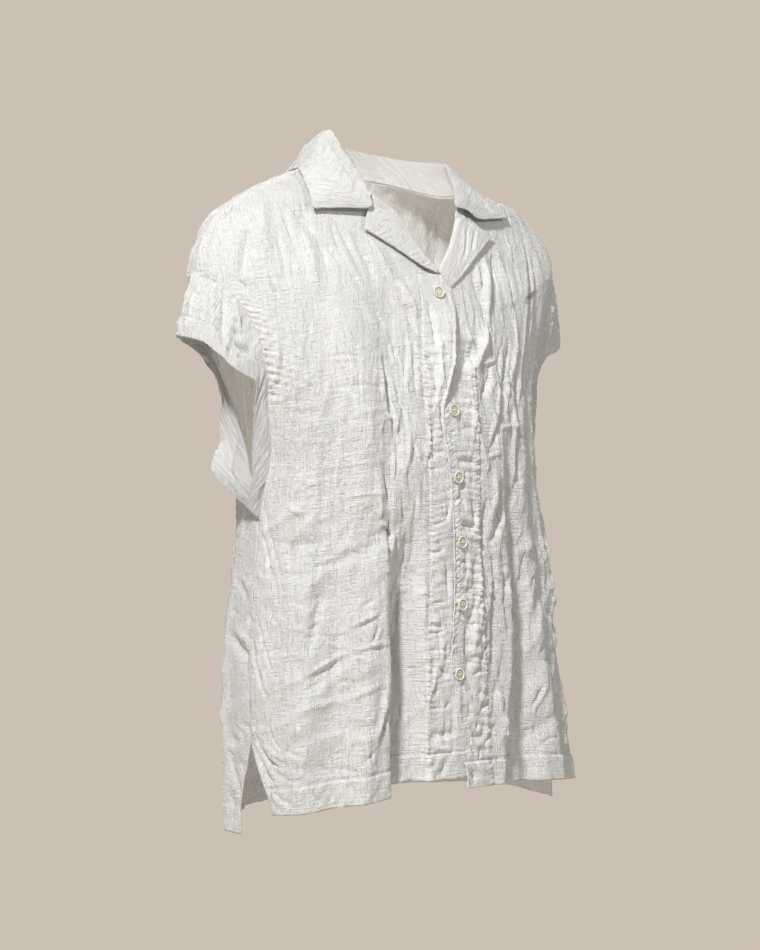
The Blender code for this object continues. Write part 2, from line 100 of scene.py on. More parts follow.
# The centre fronts: x of the free edge and of the band's seam, and how far the edge stands off the form.
OPENING_COLUMNS = ("level", "right_edge", "right_seam", "right_lift", "left_edge", "left_seam", "left_lift")
OPENING = [
    (1, 10, -52, -1.5, 0, 40, 1.8),
    (2, 6, -50, -1.5, -7, 37, 1.8),
    (3, 0, -48, -1.5, -18, 33, 1.8),
    (4, 0, -42, -1.5, -14, 29, 1.8),
    (5, -3, -42, -1.5, -15, 25, 1.8),
    (6, -8, -44, -1.5, -19, 27, 1.8),
    (6.7, -17, -44, -1.2, -23, 28, 1.4),
    (7, -21, -43, -0.5, -24, 29, 1),
    (7.25, -20, -43, 1.5, -24, 30, -1),
    (7.7, -11, -42, 6, -22, 31, -4),
    (8, -4, -40, 8, -21, 32, -4),
    (8.6, 5, -34, 8, -19, 33, -4),
    (9, 12, -30, 6, -17, 33, -3),
    (9.35, 11, -29, 4, -13, 34, -2),
    (9.65, 3, -28, 3, -6, 34, -2),
]
ROLL_COLUMNS = ("level", "right_edge", "left_edge")
ROLL = [
    (9.65, 3, -6),
    (10, -12, 14),
    (10.5, -26, 31),
    (11, -35.5, 42),
    (11.5, -45, 49),
    (12, -67, 56),
    (12.5, -74, 64),
    (13, -72, 72),
]

# Soft folds that hang down the cloth. Each row holds the levels of its top and its end, its turns there, its
# width in degrees and its height, which is negative for a trough.
FOLD_ONSET = 1.6
FOLDS = {
    "front_right": [
        (6.0, 0, -18.6, -19.6, 3.6, -11),
        (6.4, 0, -31, -34, 5.0, 7),
        (9.6, 5.6, -40, -47, 6.0, -6),
        (5.2, 0, -58, -62, 6.0, 7),
    ],
    "front_left": [
        (8.6, 0, 29, 22, 4.0, -13),
        (9.8, 5.8, 50, 46, 4.0, -5),
        (6.0, 0, 36, 38, 5.0, 5),
        (4.6, 0, 58, 56, 5.0, -7),
    ],
    "back": [
        (8.5, 0, -162, -168, 6.0, 9),
        (6.5, 0, -140, -136, 7.0, -9),
        (5.5, 0, -112, -108, 5.0, 6),
        (8.0, 0, 168, 172, 5.0, -8),
        (7.5, 0, 146, 152, 6.0, 8),
        (5.5, 0, 118, 124, 6.0, -8),
    ],
}

# The right front's hem rides up between its deep fold and its band.
RIDE_HEIGHT, RIDE_TOP, RIDE_TURN, RIDE_SPREAD = 0.22, 2.6, -20, 1.5


def smooth(x, known_x, known_y):
    """Cubic pieces through the known points, whose slopes stay between those of the chords beside them."""
    x = np.clip(np.asarray(x, float), known_x[0], known_x[-1])
    step = np.diff(known_x)
    chord = np.diff(known_y) / step
    slope = np.zeros_like(known_y)
    same_way = chord[:-1] * chord[1:] > 0
    slope[1:-1][same_way] = 2 * (chord[:-1] * chord[1:])[same_way] / (chord[:-1] + chord[1:])[same_way]
    slope[0], slope[-1] = chord[0], chord[-1]
    i = np.clip(np.searchsorted(known_x, x) - 1, 0, len(step) - 1)
    t = (x - known_x[i]) / step[i]
    bend_in, bend_out = slope[i] * step[i], slope[i + 1] * step[i]
    return (
        (2 * t**3 - 3 * t**2 + 1) * known_y[i]
        + (t**3 - 2 * t**2 + t) * bend_in
        + (3 * t**2 - 2 * t**3) * known_y[i + 1]
        + (t**3 - t**2) * bend_out
    )


def read(names, rows, at):
    """Every column of a table at the given values of its first column, by the curve of smooth()."""
    table = np.array(rows, float)
    return {name: smooth(at, table[:, 0], table[:, i]) for i, name in enumerate(names) if i}


def form(turn, level):
    """A point of the form: each ring is a superellipse through its centre front, sides and centre back."""
    ring = read(FORM_COLUMNS, FORM, level)
    angle = np.radians(turn)
    sine, cosine = np.sin(angle), np.cos(angle)
    side = {axis: np.where(sine < 0, ring["right_" + axis], ring["left_" + axis]) for axis in "xyz"}
    ahead = cosine > 0
    power = np.where(ahead, ring["front_power"], BACK_POWER)
    centre_y = np.where(ahead, ring["front_y"], ring["back_y"])
    centre_z = np.where(ahead, ring["front_z"], ring["back_z"])
    x = np.sign(sine) * side["x"] * np.abs(sine) ** (2 / power)
    y = side["y"] + (centre_y - side["y"]) * np.abs(cosine) ** (2 / power)
    z = side["z"] + (centre_z - side["z"]) * cosine**2
    return np.stack([x, y, z], axis=-1)


def outward(turn, level):
    """The direction away from the body: the cross product of the form's slopes round and up the ring."""
    up, down = np.minimum(level + 0.1, NECK_LEVEL), np.maximum(level - 0.1, 0)
    normal = np.cross(form(turn + 1.5, level) - form(turn - 1.5, level), form(turn, up) - form(turn, down))
    return normal / np.linalg.norm(normal, axis=-1, keepdims=True)


def turn_at(x, level):
    """The turn where the front half of a ring crosses x."""
    ring = read(FORM_COLUMNS, FORM, level)
    share = np.minimum(np.abs(x) / np.where(x < 0, ring["right_x"], ring["left_x"]), 1)
    return np.sign(x) * np.degrees(np.arcsin(share ** (ring["front_power"] / 2)))


def fold_height(rows, turn, level):
    """How far soft folds push the cloth out: a bell across each one, growing with sin2 below its top."""
    total = np.zeros(np.broadcast(turn, level).shape)
    for top, bottom, turn_top, turn_bottom, width, height in rows:
        along = np.clip((top - level) / (top - bottom), 0, 1)
        centre = turn_top + (turn_bottom - turn_top) * along
        grown = np.sin(np.minimum(along * FOLD_ONSET, 1) * math.pi / 2) ** 2
        total += height * grown * np.exp(-(((turn - centre) / width) ** 2))
    return total


def rows_between(low, high, step, fine_steps=400, turn=45.0):
    """Levels a step of cloth apart, measured up the form at one turn."""
    fine = np.linspace(low, high, fine_steps)
    climb = run(form(np.full(fine.shape, turn), fine)[None], 1)[0]
    return np.interp(np.linspace(0, climb[-1], round(climb[-1] / step) + 1), climb, fine)


def run(points, axis):
    """Distance along the cloth from the grid's first row or column: the running sum of its steps."""
    steps = np.linalg.norm(np.diff(points, axis=axis), axis=-1)
    start = np.zeros_like(np.take(steps, [0], axis=axis))
    return np.concatenate([start, np.cumsum(steps, axis=axis)], axis=axis)


# The form measured once, a degree apart round it and a twentieth of a level apart up it.
HALF_TURN, LEVEL_STEPS = 180, 260
fine_turns = np.linspace(-HALF_TURN, HALF_TURN, 2 * HALF_TURN + 1)
fine_form = form(fine_turns[None, :], np.linspace(0, NECK_LEVEL, LEVEL_STEPS + 1)[:, None])
ROUND_FORM, UP_FORM = run(fine_form, 1), run(fine_form, 0)
ROUND_FORM = ROUND_FORM - ROUND_FORM[:, HALF_TURN, None]


def grain(turn, level):
    """The cloth's own grain in millimetres: round the ring from the centre front, and up from the back's hem.

    It is read from the measured form, and blended in straight lines between its four nearest points."""
    turn, level = np.broadcast_arrays(turn, level)
    x, y = turn + HALF_TURN, level / NECK_LEVEL * LEVEL_STEPS
    i = np.clip(y.astype(int), 0, LEVEL_STEPS - 1)
    j = np.clip(x.astype(int), 0, 2 * HALF_TURN - 1)
    u, v = x - j, y - i
    corners = (
        (i, j, (1 - u) * (1 - v)), (i, j + 1, u * (1 - v)),
        (i + 1, j, (1 - u) * v), (i + 1, j + 1, u * v),
    )
    return tuple(sum(table[a, b] * share for a, b, share in corners) for table in (ROUND_FORM, UP_FORM))


def facing(points, around=False):
    """Unit normals of a grid: the cross product of its slopes along columns and rows."""
    if around:
        across = np.roll(points, -1, axis=1) - np.roll(points, 1, axis=1)
    else:
        across = np.gradient(points, axis=1)
    normal = np.cross(across, np.gradient(points, axis=0))
    return normal / np.maximum(np.linalg.norm(normal, axis=-1, keepdims=True), 1e-9)


HILLS = 128


def hills(x, y, seed):
    """Smooth random hills from -1 to 1: a random height at each whole x and y, blended with 3t2 - 2t3."""
    heights = np.random.default_rng(seed).uniform(-1, 1, (HILLS, HILLS))
    i, j = np.floor(x).astype(int), np.floor(y).astype(int)
    u, v = x - i, y - j
    u, v = u * u * (3 - 2 * u), v * v * (3 - 2 * v)
    i, j = i % HILLS, j % HILLS
    right, above = (i + 1) % HILLS, (j + 1) % HILLS
    low = heights[i, j] * (1 - u) + heights[right, j] * u
    high = heights[i, above] * (1 - u) + heights[right, above] * u
    return low * (1 - v) + high * v


LEVEL_CREASE, STEEP_CREASE = 0.85, 0.75  # a level crease's gain in height, and what a steep one gains on top
CREASE_REACH = 3.5


def creases(rows, across, up):
    """Creases along bowed lines on the cloth. Across each: a bell, or exp(-distance) where it is sharp.

    A row holds the line's two ends, each as its distance round and up the cloth, and then its bow, its width,
    its height and how sharp it is, from 0 to 1. It fades to both ends as a sine."""
    total = np.zeros(across.shape)
    for ax, ay, bx, by, bow, width, height, sharp in rows:
        height = height * (LEVEL_CREASE + STEEP_CREASE * abs(by - ay) / math.hypot(bx - ax, by - ay))
        reach = abs(bow) + CREASE_REACH * width
        near = np.abs(across - (ax + bx) / 2) < abs(bx - ax) / 2 + reach
        near &= np.abs(up - (ay + by) / 2) < abs(by - ay) / 2 + reach
        x, y = across[near] - ax, up[near] - ay
        length = math.hypot(bx - ax, by - ay)
        dx, dy = (bx - ax) / length, (by - ay) / length
        along = (x * dx + y * dy) / length
        inside = np.clip(along, 0, 1)
        off = x * dy - y * dx - bow * 4 * inside * (1 - inside)
        off = np.hypot(off, (along - inside) * length) / (width * (1 - 0.25 * sharp))
        ends = np.sin(np.clip(along * 0.94 + 0.03, 0, 1) * math.pi) ** 0.9
        bell = np.exp(-(off**2))
        total[near] += height * ends * (bell + (np.exp(-np.hypot(off, 0.3) * 1.3 + 0.4) - bell) * sharp)
    return total


HEM_END = 60  # a pleat that ends lower than this runs on into the hem
PLEAT_WANDER = 0.9


def pleats(rows, across, up):
    """Folds that lie over: past a line the cloth drops by a depth, and exp(-off^2) brings it back.

    A row holds the line's top and end, each as its distance round and up the cloth, and then its bow, the
    depth, the reach and how wide the drop is. A positive reach sinks the cloth on the wearer's left of it."""
    total = np.zeros(across.shape)
    for ax, ay, bx, by, bow, depth, reach, edge in rows:
        along = (ay - up) / (ay - by)
        inside = np.clip(along, 0, 1)
        line = ax + (bx - ax) * inside + bow * 4 * inside * (1 - inside)
        line = line + PLEAT_WANDER * (np.sin(up / 21 + ax) + 0.6 * np.sin(up / 8.3 + ay))
        off = (across - line) / reach
        grown = np.sin(np.clip(along * 2.2, 0, 1) * math.pi / 2) ** 2
        if by > HEM_END:
            grown = grown * np.sin(np.clip((1 - along) * 3.5, 0, 1) * math.pi / 2) ** 2
        drop = np.exp(-(np.maximum(off, 0) ** 2)) / (1 + np.exp(-np.clip(off * abs(reach) / edge, -40, 40)))
        roll = 0.22 * np.exp(-((off * abs(reach) + 2.5 * edge) / (2.5 * edge)) ** 2)
        total += depth * grown * (roll - drop)
    return total


def scattered(across, up, seed, area, count, length, width, height, lean, spread):
    """A random scatter of short creases over an area, most near the direction lean, in degrees from level."""
    left, right, low, high = area
    rng = np.random.default_rng(seed)
    x, y = rng.uniform(left, right, count), rng.uniform(low, high, count)
    angle = np.radians(rng.normal(lean, spread, count))
    half = rng.uniform(*length, count) / 2
    wide, tall = rng.uniform(*width, count), rng.uniform(*height, count) * rng.choice([-1, 1, 1], count)
    bow = rng.normal(0, 0.12, count) * half
    ends = np.stack([x - half * np.cos(angle), y - half * np.sin(angle)])
    far = np.stack([x + half * np.cos(angle), y + half * np.sin(angle)])
    return creases(zip(*ends, *far, bow, wide, tall, rng.uniform(0.2, 1, count)), across, up)


def smoothstep(share):
    """From 0 to 1 along 3t2 - 2t3."""
    share = np.clip(share, 0, 1)
    return share * share * (3 - 2 * share)


# What a patch of worn linen holds: how many creases, their lengths, widths, heights, lean and spread.
PATCH = 100 * 100  # square millimetres
SMALL_CREASES = 26, (6, 34), (1.3, 2.2), (0.2, 0.8), 0, 26
TALL_CREASES = 14, (20, 120), (1.5, 3.2), (0.3, 1.3), 90, 11


def crumple(across, up, seed, area, strength=1.0):
    """Worn linen: long soft ripples up the cloth, ridged crinkle where |hills| turns, and scattered creases.

    The numbers are heights, and lengths of the hills across and up the cloth, in millimetres."""
    x = across + 5 * hills(across / 26, up / 26, seed)
    y = up + 7 * hills(across / 31, up / 31, seed + 1)
    patches = 0.8 + 0.6 * hills(across / 60, up / 80, seed + 2)
    ripples = 1.3 * hills(x / 15, y / 90, seed + 3) + 0.6 * hills(x / 7, y / 40, seed + 4)
    crinkle = 0.5 - np.abs(hills(x / 22, y / 10, seed + 5)) - 0.6 * np.abs(hills(x / 7, y / 15, seed + 6))
    size = (area[1] - area[0]) * (area[3] - area[2]) / PATCH
    small, tall = (
        scattered(across, up, seed + 7 + i, area, round(count * size), *look)
        for i, (count, *look) in enumerate((SMALL_CREASES, TALL_CREASES))
    )
    return strength * (ripples + patches * (0.9 * crinkle + small + tall))


def puckers(along, off, seed, pitch=5.0, reach=7.0, height=0.6, slant=0.0):
    """Cloth drawn up by a seam: uneven waves along it that die away as exp(-distance / reach)."""
    rng = np.random.default_rng(seed)
    knots = np.cumsum(rng.uniform(0.5, 1.5, int(1500 / pitch)) * pitch) - 300
    place = along + slant * off
    phase = np.interp(place, knots, np.arange(len(knots)))
    tall = np.interp(place, knots, rng.uniform(0.3, 1.3, len(knots)))
    wave = np.sin(phase * math.pi) ** 2 * 2 - 1
    return height * tall * wave * np.exp(-np.abs(off) / reach)


def groove(off, width=1.3, depth=0.5):
    """The narrow valley that a line of stitching draws into cloth."""
    return -depth * np.exp(-((off / width) ** 2))


def step_up(off, height, width=1.0):
    """A turned layer's edge: the cloth rises by a height where off passes zero."""
    return height / (1 + np.exp(-np.clip(off / width, -40, 40)))


FACING_SHARE, FACING_RISE = 0.25, 2


def front_at(side, place, level):
    """Turn and lift on a front: place is -1 on the free edge, 0 on the band's seam and 1 at the side.

    Above the break the band's share of the width widens evenly into the facing's."""
    sign = -1 if side == "right" else 1
    above = level > BREAK_LEVEL
    opening = read(OPENING_COLUMNS, OPENING, level)
    roll = read(ROLL_COLUMNS, ROLL, level)
    outer = sign * read(EDGE_COLUMNS, EDGES, level)[side + "_front"]
    edge = turn_at(np.where(above, roll[side + "_edge"], opening[side + "_edge"]), level)
    seam = turn_at(opening[side + "_seam"], level)
    breaks = np.array(BREAK_LEVEL)
    at_break = read(OPENING_COLUMNS, OPENING, breaks)
    break_edge, break_seam = (turn_at(at_break[side + name], breaks) for name in ("_edge", "_seam"))
    narrow = (break_seam - break_edge) / (sign * 90 - break_edge)
    share = narrow + (FACING_SHARE - narrow) * np.clip((level - BREAK_LEVEL) / FACING_RISE, 0, 1)
    seam = np.where(above, edge + (outer - edge) * share, seam)
    on_band = np.clip(-place, 0, 1)
    turn = np.where(place < 0, seam + (edge - seam) * on_band, seam + (outer - seam) * np.maximum(place, 0))
    lift = np.where(above, 0, opening[side + "_lift"]) * on_band
    return turn, lift


def ridden(turn, level):
    """The right front's levels, raised near the hem inside its deep fold as 1 / (1 + exp) across it."""
    inside = 1 / (1 + np.exp((RIDE_TURN - turn) / RIDE_SPREAD))
    return level + RIDE_HEIGHT * inside * np.clip((RIDE_TOP - level) / (RIDE_TOP - HEM_LEVEL), 0, 1)


def lay_sheet(name, points, across, up, material, keep=None, around=False, wall=0.8):
    """A grid of points as a thin walled sheet. Its UV map holds its own width and height in metres."""
    rows, cols = points.shape[:2]
    r, c = np.mgrid[0 : rows - 1, 0 : (cols if around else cols - 1)]
    if keep is not None:
        r, c = r[keep], c[keep]
    r, c = r.ravel(), c.ravel()
    corner_r = np.stack([r, r, r + 1, r + 1], axis=1)
    corner_c = np.stack([c, c + 1, c + 1, c], axis=1)
    used, corner = np.unique(corner_r * cols + corner_c % cols, return_inverse=True)
    mesh = bpy.data.meshes.new(name)
    mesh.from_pydata((points.reshape(-1, 3)[used] * MM).tolist(), [], corner.reshape(-1, 4).tolist())
    flat = np.stack([across[corner_r, corner_c], up[corner_r, corner_c]], axis=-1) * MM
    mesh.uv_layers.new(name="cloth").data.foreach_set("uv", flat.astype(np.float32).ravel())
    mesh.shade_smooth()
    mesh.materials.append(material)
    piece = bpy.data.objects.new(name, mesh)
    bpy.context.scene.collection.objects.link(piece)
    thick = piece.modifiers.new("cloth wall", "SOLIDIFY")
    thick.thickness = wall * MM
    thick.offset = 0
    return piece


def socket(group, name, kind, direction, value=None):
    """A named way in or out of a node group."""
    made = group.interface.new_socket(name=name, in_out=direction, socket_type=kind)
    if value is not None:
        made.default_value = value
    return made


def noise_node(tree, vector, scale, detail, stretch, roughness=0.55, distortion=0.0):
    """Noise stretched along one way of the cloth."""
    mapping = tree.nodes.new("ShaderNodeMapping")
    mapping.inputs["Scale"].default_value = stretch
    tree.links.new(vector, mapping.inputs["Vector"])
    node = tree.nodes.new("ShaderNodeTexNoise")
    node.inputs["Scale"].default_value = scale
    node.inputs["Detail"].default_value = detail
    node.inputs["Roughness"].default_value = roughness
    node.inputs["Distortion"].default_value = distortion
    tree.links.new(mapping.outputs["Vector"], node.inputs["Vector"])
    return node.outputs["Fac"]


def math_node(tree, operation, first, second):
    """One step of arithmetic on values or links."""
    node = tree.nodes.new("ShaderNodeMath")
    node.operation = operation
    for slot, value in zip(node.inputs, (first, second)):
        if isinstance(value, (int, float)):
            slot.default_value = value
        else:
            tree.links.new(value, slot)
    return node.outputs["Value"]


def scaled(tree, value, size):
    """A value times a size."""
    return math_node(tree, "MULTIPLY", value, size)


def weave_group():
    """Linen gauze: slubby threads both ways of the cloth, crinkled between them, and faint tone along them.

    Threads and slubs are noise stretched along the warp or the weft. Crinkle is |noise - 0.5|, in three
    stretches. The height adds them up, and the tone follows the slubs and the threads."""
    tree = bpy.data.node_groups.new("linen gauze", "ShaderNodeTree")
    socket(tree, "Cloth", "NodeSocketVector", "INPUT")
    socket(tree, "Crinkle", "NodeSocketFloat", "INPUT", 1.0)
    socket(tree, "Light", "NodeSocketColor", "INPUT", (0.9, 0.89, 0.87, 1))
    socket(tree, "Dark", "NodeSocketColor", "INPUT", (0.8, 0.79, 0.76, 1))
    socket(tree, "Color", "NodeSocketColor", "OUTPUT")
    socket(tree, "Height", "NodeSocketFloat", "OUTPUT")
    begin = tree.nodes.new("NodeGroupInput")
    end = tree.nodes.new("NodeGroupOutput")
    cloth = begin.outputs["Cloth"]
    warp = noise_node(tree, cloth, 1.0, 2.0, (900, 45, 1))
    weft = noise_node(tree, cloth, 1.0, 2.0, (45, 900, 1))
    slub_up = noise_node(tree, cloth, 1.0, 3.0, (480, 100, 1), 0.55, 0.6)
    slub_across = noise_node(tree, cloth, 1.0, 3.0, (100, 480, 1), 0.55, 0.6)
    lines = []
    for stretch, size in (((470, 34, 1), 1.4), ((34, 450, 1), 0.9), ((130, 160, 1), 0.9)):
        ridge = noise_node(tree, cloth, 1.0, 3.0, stretch, 0.6, 0.35)
        ridge = math_node(tree, "ABSOLUTE", math_node(tree, "SUBTRACT", ridge, 0.5), 0)
        lines.append(scaled(tree, ridge, size))
    crinkle = math_node(tree, "ADD", math_node(tree, "ADD", lines[0], lines[1]), lines[2])
    threads = math_node(tree, "ADD", warp, weft)
    slubs = math_node(tree, "ADD", scaled(tree, slub_up, 1.25), scaled(tree, slub_across, 0.75))
    wrinkle = math_node(tree, "MULTIPLY", crinkle, begin.outputs["Crinkle"])
    total = math_node(tree, "ADD", scaled(tree, threads, 0.45), scaled(tree, slubs, 0.75))
    total = math_node(tree, "ADD", total, scaled(tree, wrinkle, -2.2))
    tree.links.new(total, end.inputs["Height"])
    tone = math_node(tree, "ADD", scaled(tree, slubs, 0.9), scaled(tree, threads, 0.5))
    tone = math_node(tree, "SUBTRACT", tone, 0.9)
    mix = tree.nodes.new("ShaderNodeMix")
    mix.data_type = "RGBA"
    tree.links.new(tone, mix.inputs[0])
    tree.links.new(begin.outputs["Dark"], mix.inputs[6])
    tree.links.new(begin.outputs["Light"], mix.inputs[7])
    tree.links.new(mix.outputs[2], end.inputs["Color"])
    return tree


GAUZE = weave_group()


def cotton():
    """Sewing thread: white cotton with a faint twist of lighter and darker strands."""
    material = bpy.data.materials.new("white cotton thread")
    material.use_nodes = True
    tree = material.node_tree
    shader = tree.nodes["Principled BSDF"]
    shader.inputs["Roughness"].default_value = 0.6
    place = tree.nodes.new("ShaderNodeTexCoord")
    strands = noise_node(tree, place.outputs["Object"], 1500, 2, (1, 1, 1))
    tint = tree.nodes.new("ShaderNodeMix")
    tint.data_type = "RGBA"
    tint.inputs[6].default_value = (0.74, 0.73, 0.69, 1)
    tint.inputs[7].default_value = (0.93, 0.92, 0.90, 1)
    tree.links.new(strands, tint.inputs[0])
    tree.links.new(tint.outputs[2], shader.inputs["Base Color"])
    return material


THREAD_COTTON = cotton()


# The cloth is worn smoother over the chest and the shoulders: from and to these heights up it, in metres.
SMOOTH_FROM, SMOOTH_TO, SMOOTH_SHARE = 0.42, 0.57, 0.78
WEAVE_DEPTH = 0.0013


def linen(name, crinkle, light, dark):
    """A linen finish: matt cloth with a little sheen, its weave and crinkle from the cloth's own UV map."""
    material = bpy.data.materials.new(name)
    material.use_nodes = True
    tree = material.node_tree
    shader = tree.nodes["Principled BSDF"]
    shader.inputs["Roughness"].default_value = 0.9
    shader.inputs["Specular IOR Level"].default_value = 0.25
    shader.inputs["Sheen Weight"].default_value = 0.15
    shader.inputs["Sheen Roughness"].default_value = 0.5
    uv = tree.nodes.new("ShaderNodeUVMap")
    uv.uv_map = "cloth"
    gauze = tree.nodes.new("ShaderNodeGroup")
    gauze.node_tree = GAUZE
    split = tree.nodes.new("ShaderNodeSeparateXYZ")
    tree.links.new(uv.outputs["UV"], split.inputs[0])
    ease = tree.nodes.new("ShaderNodeMapRange")
    eased = (SMOOTH_FROM, SMOOTH_TO, crinkle, crinkle * SMOOTH_SHARE)
    for slot, value in zip(("From Min", "From Max", "To Min", "To Max"), eased):
        ease.inputs[slot].default_value = value
    tree.links.new(split.outputs["Y"], ease.inputs["Value"])
    tree.links.new(ease.outputs["Result"], gauze.inputs["Crinkle"])
    gauze.inputs["Light"].default_value = (*light, 1)
    gauze.inputs["Dark"].default_value = (*dark, 1)
    tree.links.new(uv.outputs["UV"], gauze.inputs["Cloth"])
    bump = tree.nodes.new("ShaderNodeBump")
    bump.inputs["Strength"].default_value = 1.0
    bump.inputs["Distance"].default_value = WEAVE_DEPTH
    tree.links.new(gauze.outputs["Height"], bump.inputs["Height"])
    tree.links.new(gauze.outputs["Color"], shader.inputs["Base Color"])
    tree.links.new(bump.outputs["Normal"], shader.inputs["Normal"])
    return material


PANEL_LINEN = linen("white linen gauze", 1.0, (0.90, 0.895, 0.88), (0.80, 0.795, 0.775))
HEM_DEPTH = 27
HEM_STITCH = HEM_DEPTH - 2
STEP = 1.9  # between the rows of a front's grid


def cloth_point(piece, turn, level, height):
    """A point of a panel: the form, its soft folds, and a height of relief and lift off it."""
    height = fold_height(FOLDS[piece], turn, level) + height
    return form(turn, level) + outward(turn, level) * height[..., None]


def hem_relief(up, across, seed, depth=HEM_DEPTH):
    """A turned hem: a little thicker below its stitch line, drawn in along it, and puckered on both sides."""
    off = up - depth
    above = np.maximum(off, 0)
    drag = puckers(across, above, seed + 5, 26, 4, 1.1)
    drag = drag + 0.7 * puckers(across + 0.8 * off, above, seed + 6, 17, 4)
    drawn_in = groove(off - 1, 1.3, 1.8) + puckers(across, off, seed, 8, 5, 0.7, 0.5)
    return step_up(-off, 1.7, 0.7) + drawn_in + drag


